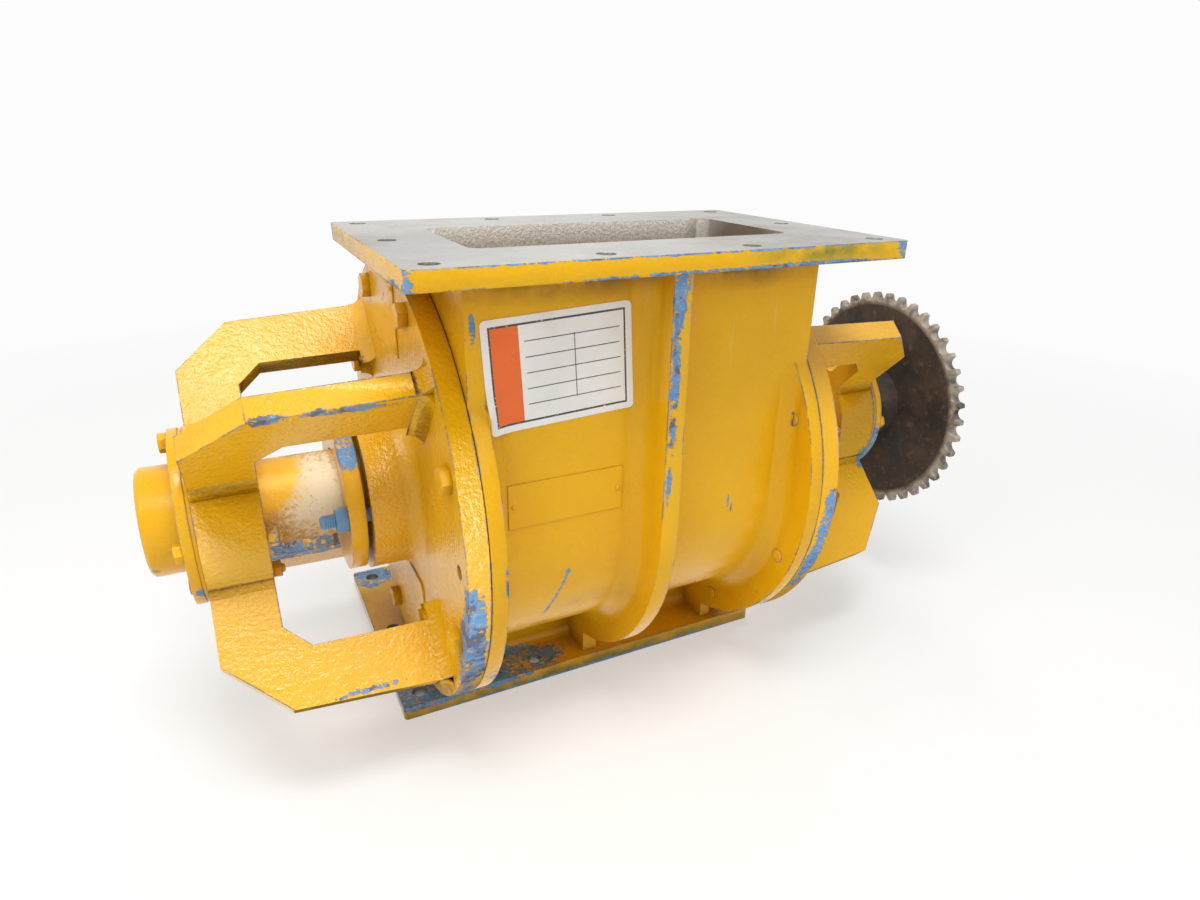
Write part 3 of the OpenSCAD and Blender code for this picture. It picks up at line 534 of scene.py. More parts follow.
def label_vinyl(name, uv_name):
    """White vinyl with a plain orange side band and ruled blank rows"""
    n = Nodes(name)
    uv = n.add("UVMap", uv_map=uv_name)
    parts = n.tree.nodes.new("ShaderNodeSeparateXYZ")
    n.tree.links.new(uv, parts.inputs[0])
    u, v = parts.outputs[0], parts.outputs[1]

    def line(value, at, half):
        return n.math("LESS_THAN", n.math("ABSOLUTE", n.math("SUBTRACT", value, at)), half)

    def between(value, low, high):
        return n.times(n.math("GREATER_THAN", value, low), n.math("LESS_THAN", value, high))

    inside = n.times(between(u, 0.045, 0.955), between(v, 0.06, 0.94))
    core = n.times(between(u, 0.057, 0.943), between(v, 0.078, 0.922))
    frame_line = n.math("SUBTRACT", inside, core, clamp=True)
    band = n.times(between(u, 0.057, 0.235), core)
    rules = line(u, 0.60, 0.003)
    for k in range(5):
        rules = n.math("MAXIMUM", rules, line(v, 0.22 + 0.14 * k, 0.0045))
    field = n.times(between(u, 0.27, 0.915), between(v, 0.21, 0.79))
    rules = n.times(rules, field)
    mottle = n.noise(30, 4)
    base = n.mix(n.ramp(mottle, 0.35, 0.7), (0.86, 0.86, 0.845), (0.79, 0.785, 0.76))
    orange = n.mix(n.ramp(mottle, 0.35, 0.7), (0.86, 0.155, 0.012), (0.78, 0.13, 0.010))
    base = n.mix(band, base, orange)
    ink = n.times(n.math("MAXIMUM", frame_line, rules), n.ramp(n.noise(500, 3), 0.25, 0.4))
    base = n.mix(ink, base, (0.045, 0.043, 0.042))
    scuff = n.ramp(n.noise(40, 5, 0.7, n.stretch((1, 1, 9), (0, 0.5, 0))), 0.66, 0.72)
    base = n.mix(n.times(scuff, 0.25), base, (0.45, 0.42, 0.36))
    normal = n.bump(n.noise(70, 3), 0.00012, 0.5)
    return n.set(Base_Color=base, Roughness=n.ramp(mottle, 0.3, 0.7, 0.26, 0.38), Normal=normal)


# ---------- Where the paint is worn, thin or streaked, and where painted shade and dirt lie: centre, reach and amount ---

BODY_WEAR = [
    # upper flange: corners, then the long lower and upper edges
    ((-0.204, FRONT, 0.449), (0.012, 0.012, 0.020), 0.34),
    ((-0.204, -0.180, 0.443), (0.006, 0.045, 0.006), 0.30),
    ((0.203, FRONT, 0.449), (0.020, 0.030, 0.014), 0.42),
    ((-0.02, FRONT, UNDER), (0.120, 0.010, 0.0045), 0.42),
    ((0.11, FRONT, UNDER), (0.100, 0.010, 0.0055), 0.46),
    ((0.05, FRONT, TOP), (0.170, 0.010, 0.0030), 0.40),
    ((-0.12, FRONT, TOP), (0.090, 0.010, 0.0024), 0.34),
    # front rib's edge
    ((-0.001, -0.199, 0.428), (0.011, 0.014, 0.034), 0.33),
    ((-0.003, -0.199, 0.380), (0.008, 0.014, 0.060), 0.31),
    ((-0.003, -0.199, 0.325), (0.008, 0.014, 0.060), 0.31),
    ((-0.004, -0.198, 0.268), (0.006, 0.014, 0.035), 0.27),
    # end flanges, lower front
    ((-0.147, -0.160, 0.110), (0.014, 0.040, 0.050), 0.26),
    ((0.147, -0.150, 0.095), (0.014, 0.050, 0.050), 0.24),
    # foot: top, around the bolt holes, lower edge
    ((-0.12, -0.040, FOOT), (0.130, 0.045, 0.012), 0.62),
    ((-0.184, -0.043, FOOT), (0.045, 0.045, 0.010), 0.55),
    ((-0.184, 0.193, FOOT), (0.032, 0.032, 0.010), 0.75),
    ((0.06, -0.035, FOOT), (0.060, 0.030, 0.006), 0.22),
    ((0.0, -REAR, 0.0), (0.300, 0.010, 0.0045), 0.50),
    # rear: upper flange, rib, foot
    ((0.05, REAR, UNDER), (0.180, 0.010, 0.0045), 0.40),
    ((-0.10, REAR, TOP), (0.120, 0.010, 0.0026), 0.36),
    ((-0.204, REAR, 0.449), (0.014, 0.014, 0.018), 0.36),
    ((0.204, REAR, 0.449), (0.010, 0.022, 0.014), 0.40),
    ((0.002, 0.199, 0.340), (0.009, 0.014, 0.050), 0.31),
    ((-0.002, 0.199, 0.235), (0.008, 0.014, 0.045), 0.28),
    ((0.02, 0.2115, 0.010), (0.200, 0.012, 0.007), 0.36),
    ((0.184, 0.193, FOOT), (0.026, 0.030, 0.008), 0.50),
    ((0.061, 0.193, FOOT), (0.018, 0.016, 0.006), 0.42),
    ((0.204, 0.060, FOOT), (0.012, 0.070, 0.008), 0.34),
    ((0.147, 0.170, 0.120), (0.014, 0.040, 0.040), 0.24),
    ((-0.147, 0.185, 0.150), (0.014, 0.024, 0.050), 0.26),
    # odd marks
    ((0.083, -0.1655, 0.226), (0.0016, 0.010, 0.010), 0.60),
    ((0.087, -0.1655, 0.217), (0.0014, 0.010, 0.008), 0.60),
    ((-0.0743, -0.159, 0.189), (0.0045, 0.008, 0.0030), 0.60),
    ((-0.1495, -0.1655, 0.405), (0.0040, 0.010, 0.020), 0.50),
    ((-0.1435, -0.2020, 0.222), (0.0025, 0.008, 0.018), 0.55),
]
# one long scratch, from the wall down onto the barrel
STEPS = 9
SCRATCH = [((-0.074 - 0.013 * k / STEPS, -0.159 + 0.022 * k / STEPS,
             0.189 - 0.050 * k / STEPS), (0.0019, 0.010, 0.0060), 0.42) for k in range(STEPS + 1)]
BODY_THIN = [
    ((0.12, FRONT, 0.452), (0.090, 0.006, 0.012), 1.1),
    ((-0.204, 0.03, 0.449), (0.010, 0.130, 0.012), 0.9),
    ((0.0, -REAR, 0.003), (0.300, 0.012, 0.013), 1.4),
    ((-0.204, 0.15, 0.007), (0.010, 0.060, 0.012), 0.7),
    ((-0.04, -0.150, 0.145), (0.060, 0.030, 0.020), 0.4),
]
# Painted shadow under the front edge of the upper flange and at its left end, and darker patches
# near the foot
BODY_SHADE_AND_SOIL = [
    ((-0.08, -0.168, 0.4410), (0.110, 0.030, 0.026), 1.50),
    ((0.08, -0.168, 0.4410), (0.110, 0.030, 0.026), 1.30),
    ((-0.153, -0.10, 0.430), (0.012, 0.070, 0.030), 0.70),
    ((0.0, -0.100, 0.030), (0.170, 0.060, 0.050), 0.45),
    ((-0.16, 0.08, 0.012), (0.060, 0.110, 0.020), 0.35),
]
BODY_STREAKS = [
    ((0.072, -0.195, 0.390), (0.030, 0.040, 0.070), 1.0),
    ((0.112, -0.195, 0.380), (0.022, 0.040, 0.080), 1.0),
    ((-0.03, -0.195, 0.415), (0.030, 0.040, 0.030), 0.6),
]
IDLE_WEAR = [
    ((-0.170, -0.201, 0.203), (0.016, 0.020, 0.036), 0.40),
    ((-0.170, -0.193, 0.165), (0.017, 0.026, 0.040), 0.62),
    ((-0.168, -0.178, 0.128), (0.016, 0.028, 0.034), 0.55),
    ((-0.166, -0.150, 0.090), (0.014, 0.034, 0.030), 0.40),
    ((-0.180, -0.060, 0.035), (0.008, 0.020, 0.012), 0.40),
    ((-0.255, 0.010, 0.345), (0.050, 0.030, 0.008), 0.20),
    ((-0.235, -0.050, 0.275), (0.010, 0.020, 0.012), 0.35),
    ((-0.255, 0.088, 0.130), (0.080, 0.026, 0.026), 0.80),
    ((-0.235, -0.135, 0.349), (0.070, 0.008, 0.007), 0.40),
    ((-0.292, -0.133, 0.347), (0.018, 0.012, 0.010), 0.34),
    ((-0.240, -0.135, 0.107), (0.070, 0.006, 0.006), 0.28),
    ((-0.170, 0.185, 0.140), (0.015, 0.022, 0.040), 0.36),
    ((-0.170, 0.199, 0.270), (0.014, 0.012, 0.040), 0.30),
]
DRIVE_WEAR = [
    ((0.170, -0.203, 0.228), (0.015, 0.014, 0.030), 0.34),
    ((0.168, -0.200, 0.193), (0.014, 0.016, 0.034), 0.50),
    ((0.166, -0.190, 0.158), (0.014, 0.020, 0.030), 0.52),
    ((0.164, -0.172, 0.128), (0.014, 0.020, 0.024), 0.36),
    ((0.350, -0.060, 0.200), (0.018, 0.035, 0.060), 0.42),
    ((0.350, -0.070, 0.260), (0.010, 0.020, 0.040), 0.40),
    ((0.170, 0.195, 0.175), (0.015, 0.016, 0.040), 0.42),
    ((0.168, 0.178, 0.130), (0.014, 0.020, 0.026), 0.34),
    ((0.345, 0.065, 0.250), (0.012, 0.024, 0.040), 0.36),
]
END_THIN = [
    ((-0.27, -0.12, 0.085), (0.120, 0.040, 0.010), 0.5),
    ((0.166, -0.170, 0.130), (0.012, 0.050, 0.060), 0.4),
    ((0.34, -0.10, 0.30), (0.030, 0.030, 0.016), 0.5),
]

MATERIALS = {}


def finishes():
    """Makes every finish once"""
    if MATERIALS:
        return MATERIALS
    MATERIALS.update(
        body=enamel("cast_enamel_body", 0.55, BODY_WEAR, BODY_THIN, BODY_STREAKS, BODY_SHADE_AND_SOIL,
                    dirt_and_shade=0.55, gloss=0.24, primer=0.05, cuts=SCRATCH),
        idle=enamel("cast_enamel_idle_end", 1.7, IDLE_WEAR, END_THIN, wear=1.25, gloss=0.5,
                    primer=0.10),
        drive=enamel("cast_enamel_drive_end", 1.2, DRIVE_WEAR, END_THIN, wear=1.1, dirt_and_shade=0.40,
                     gloss=0.35, primer=0.03),
        small=enamel("brushed_enamel_fasteners", 0.5, wear=1.1, dirt_and_shade=0.5),
        sheet=enamel("enamel_over_sheet", 0.3, wear=0.25, dirt_and_shade=0.25, gloss=0.22),
        bluish=enamel("worn_enamel_nuts", 0.5, [((0, 0, 0.228), (1, 1, 1), 0.22)], wear=1.5,
                      dirt_and_shade=0.4),
        tag=enamel("enamel_over_tag", 0.3, [((-0.175, 0, 0.40), (0.01, 0.06, 0.04), 0.16)],
                   wear=0.8),
        blue=enamel("blue_enamel", 0.4, wear=0.2, dirt_and_shade=0.3, tint=(0.13, 0.30, 0.56)),
        faced=machined("faced_iron", (0.40, 0.385, 0.352), 0.30),
        bore=machined("bored_iron", (0.30, 0.29, 0.27), 0.40),
        cast=cast_bare("bare_cast_iron"),
        sprocket=rusted("rusted_sprocket", rim=(0.1165, 0.1215)),
        shaft=shaft_finish("weathered_shaft"),
        vane=rusted("vane_plate", (0.17, 0.15, 0.13), (0.26, 0.21, 0.17), (0.45, 0.42, 0.38)),
        steel=machined("plain_steel_parts", (0.46, 0.45, 0.44), 0.34, swirl=False),
        bearing=machined("ground_bearing_steel", (0.62, 0.62, 0.63), 0.20, (0.30, 0.27, 0.22),
                         False),
        brass=machined("cage_brass", (0.66, 0.46, 0.18), 0.30, (0.30, 0.19, 0.06), False),
        gasket=plain("gasket_sheet", (0.035, 0.034, 0.034), 0.8),
        packing=plain("graphited_braid", (0.055, 0.048, 0.042), 0.75, 0.0, 520.0, 0.0004),
        rubber=plain("lip_seal_rubber", (0.018, 0.018, 0.018), 0.55),
    )
    return MATERIALS


# ---------- Pieces ----------

def mark_faces(obj, materials, rule):
    """Gives each face the material the rule names by centre, normal and reach from the shaft"""
    obj.data.materials.clear()
    for material in materials:
        obj.data.materials.append(material)
    points = obj.data.vertices
    for face in obj.data.polygons:
        far = max(math.hypot(points[i].co.y, points[i].co.z - AXIS.z) for i in face.vertices)
        face.material_index = rule(face.center, face.normal, far)


class AIRLOCK_OT_body(bpy.types.Operator):
    """Body casting with rounded cast edges, faced flanges and a bare throat"""
    bl_idname = "airlock.body"
    bl_label = "Body casting"

    def execute(self, context):
        finish = finishes()
        edge = context.scene.airlock_sizes.cast_edge
        obj = node_copy("valve_body", "body_casting", edge)
        bore_reach, hole_reach, faced_reach = 0.1535, 0.0076, 0.2035
        port_x, port_y = 0.1415, 0.0665

        def rule(c, normal, far):
            if abs(normal.z) > 0.99 and (c.z > 0.4555 or c.z < 0.0005):
                return 1
            radius = math.hypot(c.y, c.z - AXIS.z)
            inward = normal.y * c.y + normal.z * (c.z - AXIS.z)
            if radius < bore_reach and abs(normal.x) < 0.2 and inward < 0:
                return 3
            for x, y in PORT_HOLES:
                for sign in (1, -1):
                    away = math.hypot(c.x - x, c.y + sign * (PORT_OFFSET - y))
                    if away < hole_reach and abs(normal.z) < 0.5:
                        return 3
            for sign in (1, -1):
                in_port = abs(c.x) < port_x and abs(c.y + PORT_OFFSET * sign) < port_y
                on_wall = 0.0015 < c.z < 0.4545 and abs(normal.z) < 0.95
                if in_port and on_wall and (c.z - AXIS.z) * sign > 0.13:
                    return 2
            if abs(normal.x) > 0.99 and abs(c.x) > 0.155 and far < faced_reach:
                return 1
            return 0

        mark_faces(obj, (finish["body"], finish["faced"], finish["cast"], finish["bore"]), rule)
        finish_piece(obj, "body_casting", "housing", None, ["valve_body"])
        return {"FINISHED"}


class AIRLOCK_OT_ends(bpy.types.Operator):
    """Both end plates with their bracket arms, edges rounded as cast"""
    bl_idname = "airlock.ends"
    bl_label = "End plates"

    def execute(self, context):
        finish = finishes()
        edge = context.scene.airlock_sizes.cast_edge
        for side, _ in SIDES:
            obj = node_copy(f"{side}_end_plate", f"{side}_bracket", edge)
            finish_piece(obj, f"{side}_bracket", "housing", finish[side],
                         [f"{side}_end_plate"])
        return {"FINISHED"}


class AIRLOCK_OT_caps(bpy.types.Operator):
    """Bearing cap, retainer and gland followers with turned edges"""
    bl_idname = "airlock.caps"
    bl_label = "Caps and followers"

    def execute(self, context):
        edge = context.scene.airlock_sizes.machined_edge
        worn = enamel("enamel_follower", 0.6, [
            ((-0.227, -0.050, 0.285), (0.016, 0.035, 0.022), 0.75),
            ((-0.2195, 0, 0.228), (0.004, 0.09, 0.09), 0.25)], wear=1.3, dirt_and_shade=0.5)
        cap = enamel("enamel_cap", 0.5, [
            ((-0.384, -0.044, 0.200), (0.010, 0.016, 0.010), 0.42),
            ((-0.352, -0.060, 0.190), (0.008, 0.012, 0.016), 0.40)], wear=1.0, dirt_and_shade=0.3)
        retainer = enamel("enamel_retainer", 0.6, [
            ((0.352, -0.055, 0.200), (0.016, 0.045, 0.060), 0.55)], wear=1.3, dirt_and_shade=0.3)
        for node, material in (("idle_bearing_cap", cap), ("drive_bearing_retainer", retainer),
                               ("idle_gland_follower", worn), ("drive_gland_follower", worn)):
            obj = node_copy(node, node + "_turned", edge)
            finish_piece(obj, node + "_turned", "housing", material, [node])
        return {"FINISHED"}


def hex_head(across, height):
    """A hexagon along +X from its seat at x = 0, its outer corners chamfered round"""
    bpy.ops.object.select_all(action="DESELECT")
    bpy.ops.mesh.primitive_cylinder_add(
        vertices=6, radius=across / math.sqrt(3), depth=height, location=(height / 2, 0, 0),
        rotation=(0, math.pi / 2, 0))
    head = bpy.context.object
    apply_place(head)
    reach = across / math.sqrt(3)
    crown = turned("crown", [
        (-0.001, reach + 0.001), (height - (reach - across / 2) * 0.62, reach + 0.001),
        (height, across / 2 * 0.98), (height + 0.0001, across / 2 * 0.9)], 48)
    apply_modifier(head, "BOOLEAN", operation="INTERSECT", object=crown, solver="EXACT")
    bpy.data.objects.remove(crown)
    apply_modifier(head, "BEVEL", width=0.00035, segments=2, limit_method="ANGLE",
                   angle_limit=math.radians(25))
    smooth(head, 30)
    return head


def thread(radius, start, end, pitch=0.0018):
    """A stud's threaded end along +X, turned in ridges with a chamfered tip"""
    profile = [(start - 0.001, radius * 0.98)]
    x = start
    while x < end - 2 * pitch:
        profile += [(x, radius * 0.90), (x + pitch / 2, radius * 0.995)]
        x += pitch
    profile += [(end - pitch, radius * 0.92), (end, radius * 0.74)]
    obj = turned("thread", profile, 28)
    smooth(obj, 50)
    return obj


def join(parts):
    bpy.ops.object.select_all(action="DESELECT")
    for part in parts:
        part.select_set(True)
    bpy.context.view_layer.objects.active = parts[0]
    bpy.ops.object.join()
    return parts[0]


def station(node, end):
    """Distance from mid body of a node's inner (0) or outer (1) end"""
    low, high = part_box(node)
    reach = sorted((abs(low[0]), abs(high[0])))
    return reach[end]


def ring(source, name, node, places, material, soften=0):
    """Copies a fastener to its places, as one piece in the node's stead"""
    piece = copies(source, places, name)
    if soften:
        smooth(piece, soften)
    finish_piece(piece, name, "housing", material, [node])


class AIRLOCK_OT_bolts(bpy.types.Operator):
    """Hexagon bolts, nuts and studs with chamfered heads and threads"""
    bl_idname = "airlock.bolts"
    bl_label = "Bolts and nuts"

    def execute(self, context):
        finish = finishes()
        about = Matrix.Rotation(math.pi, 4, "Z")
        head_height, cap_head = 0.008, 0.0064
        across, cap_across = 0.019, 0.0143

        def spin(angle):
            return Matrix.Rotation(angle, 4, "X")

        for side, sign in SIDES:
            # end plate bolts: head on the plate, worn shank end at the body flange
            node = f"{side}_plate_bolts"
            seat = station(node, 1) - head_height
            inner = station(node, 0) - seat
            head = hex_head(across, head_height)
            tail = turned("shank", [(inner, 0.005), (inner + 0.0007, 0.0062), (0.001, 0.00625)], 28)
            places = [on_axis(22.5 + 45 * k, PLATE_BOLT_CIRCLE, seat, sign) @ spin(k * 0.7)
                      for k in range(8)]
            ring(join([head, tail]), f"{side}_plate_hex_bolts", node, places,
                 finish["small"], 30)
            # bearing cap bolts and their nuts on the inboard side of the housing
            node = f"{side}_cap_bolts"
            seat = station(node, 1) - cap_head
            head = hex_head(cap_across, cap_head)
            tail = thread(0.0047, 0.0, seat - station(node, 0) - 0.001, 0.0016)
            tail.data.transform(about)
            places = [on_axis(90 * k, CAP_BOLT_CIRCLE, seat, sign) @ spin(k * 0.5 + 0.2)
                      for k in range(4)]
            ring(join([head, tail]), f"{side}_cap_hex_bolts", node, places,
                 finish["small"], 30)
            node = f"{side}_cap_nuts"
            seat = station(node, 1)
            nut = hex_head(cap_across, 0.0085)
            nut.data.transform(about)
            places = [on_axis(90 * k, CAP_BOLT_CIRCLE, seat, sign) @ spin(k * 0.9)
                      for k in range(4)]
            ring(nut, f"{side}_cap_hex_nuts", node, places, finish["bluish"])
            # gland studs and nuts
            node = f"{side}_gland_studs"
            seat = station(f"{side}_gland_nuts", 0)
            inner = station(node, 0) - seat
            stud = thread(0.00635, 0.0, station(node, 1) - seat, 0.0020)
            shank = turned("stud", [(inner, 0.0058), (inner + 0.001, 0.0063), (0.0, 0.0063)], 28)
            places = [on_axis(angle, GLAND_CIRCLE, seat, sign) for angle in (0, 180)]
            ring(join([stud, shank]), f"{side}_gland_stud_bolts", node, places,
                 finish["blue"], 50)
            ring(hex_head(across, 0.0103), f"{side}_gland_hex_nuts", f"{side}_gland_nuts",
                 [place @ spin(0.3) for place in places], finish["blue"])
        return {"FINISHED"}


class AIRLOCK_OT_plates(bpy.types.Operator):
    """Blank painted-over plate on the body and blank tag on the idle end, with drive screws"""
    bl_idname = "airlock.plates"
    bl_label = "Blank plates"

    def execute(self, context):
        finish = finishes()

        def screw(place, radius=0.0021):
            pin = turned("screw", [(0, radius), (0.0005, radius * 0.96), (0.0011, radius * 0.7),
                                   (0.00135, radius * 0.3)], 20)
            smooth(pin, 60)
            pin.data.transform(place)
            return pin

        low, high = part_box("body_nameplate")
        plate = node_copy("body_nameplate", "blank_body_plate", 0.0003)
        inset = 0.0045
        middle = (low[2] + high[2]) / 2
        facing = Matrix.Rotation(-math.pi / 2, 4, "Z")
        pins = [screw(Matrix.Translation((x, low[1], middle)) @ facing)
                for x in (low[0] + inset, high[0] - inset)]
        plate = join([plate, *pins])
        finish_piece(plate, "blank_body_plate", "housing", finish["sheet"],
                     ["body_nameplate"])
        low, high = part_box("end_tag")
        tag = node_copy("end_tag", "blank_end_tag", 0.0003)
        pins = [screw(Matrix.Translation((low[0], y, z)) @ Matrix.Rotation(math.pi, 4, "Z"))
                for y in (low[1] + inset, high[1] - inset)
                for z in (low[2] + inset, high[2] - inset)]
        tag = join([tag, *pins])
        finish_piece(tag, "blank_end_tag", "housing", finish["tag"], ["end_tag"])
        return {"FINISHED"}


class AIRLOCK_OT_label(bpy.types.Operator):
    """Plain vinyl record label, blank, on the front wall"""
    bl_idname = "airlock.label"
    bl_label = "Blank label"

    def execute(self, context):
        sizes = context.scene.airlock_sizes
        wide, tall = sizes.label_width, sizes.label_height
        thick, corner, lift = 0.00025, 0.004, 0.0001
        centre_x, centre_z = -0.0822, 0.3705
        smoothing_passes = 14
        bpy.ops.object.select_all(action="DESELECT")
        bpy.ops.mesh.primitive_grid_add(x_subdivisions=40, y_subdivisions=28, size=1)
        label = bpy.context.object
        label.dimensions = (wide, tall, 0)
        apply_place(label)
        # round the four corners by drawing the outermost points in
        for vertex in label.data.vertices:
            dx = abs(vertex.co.x) - (wide / 2 - corner)
            dy = abs(vertex.co.y) - (tall / 2 - corner)
            if dx > 0 and dy > 0:
                long = math.hypot(dx, dy)
                if long > corner:
                    vertex.co.x = math.copysign(wide / 2 - corner + dx * corner / long, vertex.co.x)
                    vertex.co.y = math.copysign(tall / 2 - corner + dy * corner / long, vertex.co.y)
        uv_name = "sheet"
        while label.data.uv_layers:
            label.data.uv_layers.remove(label.data.uv_layers[0])
        layer = label.data.uv_layers.new(name=uv_name)
        for loop in label.data.loops:
            point = label.data.vertices[loop.vertex_index].co
            layer.data[loop.index].uv = (point.x / wide + 0.5, point.y / tall + 0.5)
        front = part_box("body_nameplate")[1][1]
        label.data.transform(
            Matrix.Translation((centre_x, front, centre_z))
            @ Matrix.Rotation(-sizes.label_tilt, 4, "Y") @ Matrix.Rotation(math.pi / 2, 4, "X"))
        # lay the sheet on the casting, then let it bridge the hollow beside the end flange
        casting = NODES["valve_body"].data
        tree = BVHTree.FromPolygons([v.co for v in casting.vertices],
                                    [f.vertices for f in casting.polygons])
        points = label.data.vertices
        wall = []
        for vertex in points:
            place = tree.ray_cast(Vector((vertex.co.x, -0.3, vertex.co.z)), Vector((0, 1, 0)))[0]
            wall.append((min(place.y, front) if place else front) - lift)
        near = [[] for _ in points]
        for link in label.data.edges:
            one, two = link.vertices
            near[one].append(two)
            near[two].append(one)
        depth = list(wall)
        for _ in range(smoothing_passes):
            depth = [min(limit, sum(depth[k] for k in around) / len(around))
                     for limit, around in zip(wall, near)]
        for index, vertex in enumerate(points):
            bubbles = 0.00010 * math.sin(vertex.co.x * 95) * math.sin(vertex.co.z * 120 + 1)
            vertex.co.y = depth[index] - max(0.0, bubbles)
        apply_modifier(label, "SOLIDIFY", thickness=thick, offset=1)
        smooth(label, 60)
        finish_piece(label, "blank_label", "housing",
                     label_vinyl("blank_vinyl", uv_name))
        return {"FINISHED"}


class AIRLOCK_OT_cad_finishes(bpy.types.Operator):
    """Finishes on the CAD nodes that stay as they are"""
    bl_idname = "airlock.cad_finishes"
    bl_label = "Node finishes"

    def execute(self, context):
        finish = finishes()
        table = {
            "rotor_shaft": "shaft", "rotor_key": "steel", "drive_key": "steel",
            "rotor_vanes": "vane", "vane_tips": "steel", "tip_bolts": "steel", "tip_nuts": "steel",
            "sprocket": "sprocket", "sprocket_set_screws": "steel", "drive_shaft_seal": "rubber",
            "body_nameplate": "sheet", "end_tag": "sheet",
        }
        for side, _ in SIDES:
            for name, key in (
                    ("end_gasket", "gasket"), ("packing", "packing"), ("housing_seal", "rubber"),
                    ("cap_shim", "small"), ("bearing_outer_race", "bearing"),
                    ("bearing_inner_race", "bearing"), ("bearing_balls", "bearing"),
                    ("bearing_cage", "brass"), ("snap_ring", "steel"), ("grease_fitting", "steel"),
                    ("plate_bolts", "small"), ("cap_bolts", "small"), ("cap_nuts", "small"),
                    ("gland_studs", "blue"), ("gland_nuts", "blue"), ("gland_follower", "small"),
                    ("end_plate", side)):
                table[f"{side}_{name}"] = key
        table.update(valve_body="body", idle_bearing_cap="small", drive_bearing_retainer="small")
        for name, obj in NODES.items():
            obj.data.materials.clear()
            obj.data.materials.append(finish[table[name]])
        return {"FINISHED"}


# ---------- Stage ----------

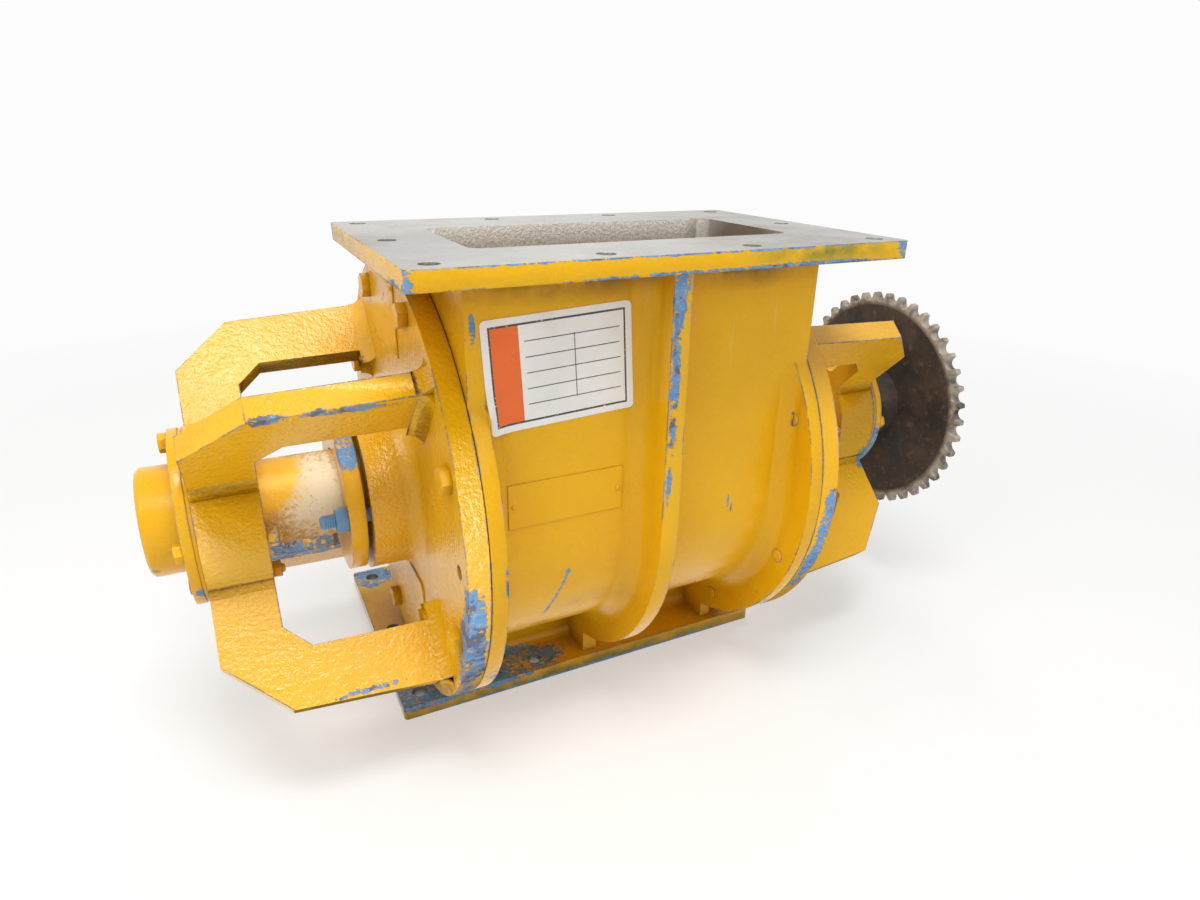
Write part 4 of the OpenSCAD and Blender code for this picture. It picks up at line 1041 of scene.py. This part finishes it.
class AIRLOCK_OT_stage(bpy.types.Operator):
    """Plain pale floor, soft lights and the camera"""
    bl_idname = "airlock.stage"
    bl_label = "Stage"

    def execute(self, context):
        scene = context.scene
        stage = scene.airlock_stage
        low, _ = CAD_BOX
        bpy.ops.object.select_all(action="DESELECT")
        bpy.ops.mesh.primitive_circle_add(vertices=96, radius=6, fill_type="NGON",
                                          location=(0, 0, low[2] - 0.0002))
        floor = context.object
        apply_place(floor)
        floor.name = "floor"
        n = Nodes("pale_floor")
        shade = n.mix(n.noise(3, 2), tuple(stage.floor), [c * 0.985 for c in stage.floor])
        n.set(Base_Color=shade, Roughness=0.6)
        rays = n.tree.nodes.new("ShaderNodeLightPath")
        seen = n.math("MAXIMUM", rays.outputs["Is Glossy Ray"], rays.outputs["Is Transmission Ray"])
        glow = n.add("Emission", {"Color": BACKDROP, "Strength": 1.0})
        away = n.add("VectorMath", {0: n.place}, out=1, operation="LENGTH")
        plain_share = n.ramp(away, 0.35, 1.9, 0.45, 1.0)
        share = n.math("MAXIMUM", n.times(rays.outputs["Is Camera Ray"], plain_share), seen)
        mix = n.tree.nodes.new("ShaderNodeMixShader")
        n.tree.links.new(share, mix.inputs[0])
        n.tree.links.new(n.shader.outputs[0], mix.inputs[1])
        n.tree.links.new(glow, mix.inputs[2])
        n.tree.links.new(mix.outputs[0], n.output.inputs[0])
        floor.data.materials.append(n.material)

        world = bpy.data.worlds.new("soft_room")
        scene.world = world
        world.use_nodes = True
        tree = world.node_tree
        tree.nodes.clear()
        new, link = tree.nodes.new, tree.links.new
        out, rays = new("ShaderNodeOutputWorld"), new("ShaderNodeLightPath")
        light, shown = new("ShaderNodeBackground"), new("ShaderNodeBackground")
        light.inputs[0].default_value = (1.0, 0.995, 0.985, 1)
        light.inputs[1].default_value = 0.46
        shown.inputs[0].default_value = BACKDROP
        shown.inputs[1].default_value = 1.0
        seen, pick = new("ShaderNodeMath"), new("ShaderNodeMath")
        seen.operation = pick.operation = "MAXIMUM"
        mixer = new("ShaderNodeMixShader")
        for start, end in (
                (rays.outputs["Is Camera Ray"], seen.inputs[0]),
                (rays.outputs["Is Transmission Ray"], seen.inputs[1]),
                (seen.outputs[0], pick.inputs[0]), (rays.outputs["Is Glossy Ray"], pick.inputs[1]),
                (pick.outputs[0], mixer.inputs[0]), (light.outputs[0], mixer.inputs[1]),
                (shown.outputs[0], mixer.inputs[2]), (mixer.outputs[0], out.inputs[0])):
            link(start, end)

        def area(name, place, aim, size, power, colour=(1, 1, 1)):
            lamp = bpy.data.lights.new(name, "AREA")
            lamp.shape = "RECTANGLE"
            lamp.size, lamp.size_y = size
            lamp.energy = power
            lamp.color = colour
            obj = bpy.data.objects.new(name, lamp)
            obj.location = place
            obj.rotation_euler = (Vector(aim) - Vector(place)).to_track_quat("-Z", "Y").to_euler()
            scene.collection.objects.link(obj)

        area("key_light", (-1.6, -0.7, 1.8), (-0.1, 0, 0.25), (1.2, 0.9), stage.key_power)
        area("ceiling_light", (-0.28, -0.65, 2.2), (-0.1, -0.05, 0.25), (1.0, 0.6),
             stage.key_power * 1.75)
        area("front_light", (0.5, -1.9, 1.5), (0.05, 0, 0.2), (1.4, 0.8), stage.key_power * 0.42)
        area("rear_light", (0.6, 1.6, 1.9), (0, 0, 0.25), (1.2, 0.9), stage.key_power * 0.6)

        camera = bpy.data.cameras.new("view_camera")
        camera.sensor_width = 36
        camera.lens = 23.006
        camera.shift_x = 0.0018
        camera.shift_y = 0.0022
        camera.clip_start = 0.01
        view = bpy.data.objects.new("view_camera", camera)
        view.location = (-0.3054, -0.6692, 0.5321)
        turn = Euler((math.radians(90 - 22.644), 0, math.radians(-26.771))).to_matrix()
        view.rotation_euler = (turn @ Euler((0, 0, math.radians(0.975))).to_matrix()).to_euler()
        scene.collection.objects.link(view)
        scene.camera = view
        scene.view_settings.view_transform = "Standard"
        return {"FINISHED"}


class AIRLOCK_PT_panel(bpy.types.Panel):
    """Lists the valve's pieces"""
    bl_idname = "AIRLOCK_PT_panel"
    bl_label = "Rotary airlock valve"
    bl_space_type = "VIEW_3D"
    bl_region_type = "UI"
    bl_category = "Airlock"

    def draw(self, context):
        column = self.layout.column()
        for group in (context.scene.airlock_paint, context.scene.airlock_sizes,
                      context.scene.airlock_stage):
            for name in group.__annotations__:
                column.prop(group, name)
        for operator in OPERATORS:
            column.operator(operator.bl_idname)


OPERATORS = (AIRLOCK_OT_cad_finishes, AIRLOCK_OT_body, AIRLOCK_OT_ends, AIRLOCK_OT_caps,
             AIRLOCK_OT_bolts, AIRLOCK_OT_plates, AIRLOCK_OT_label, AIRLOCK_OT_stage)
GROUPS = (AirlockPaint, AirlockSizes, AirlockStage)


def register():
    for item in (*GROUPS, *OPERATORS, AIRLOCK_PT_panel):
        bpy.utils.register_class(item)
    bpy.types.Scene.airlock_paint = bpy.props.PointerProperty(type=AirlockPaint)
    bpy.types.Scene.airlock_sizes = bpy.props.PointerProperty(type=AirlockSizes)
    bpy.types.Scene.airlock_stage = bpy.props.PointerProperty(type=AirlockStage)


def unregister():
    del bpy.types.Scene.airlock_stage
    del bpy.types.Scene.airlock_sizes
    del bpy.types.Scene.airlock_paint
    for item in reversed((*GROUPS, *OPERATORS, AIRLOCK_PT_panel)):
        bpy.utils.unregister_class(item)


def main():
    register()
    for operator in OPERATORS:
        group, name = operator.bl_idname.split(".")
        getattr(getattr(bpy.ops, group), name)()


if __name__ == "__main__":
    main()
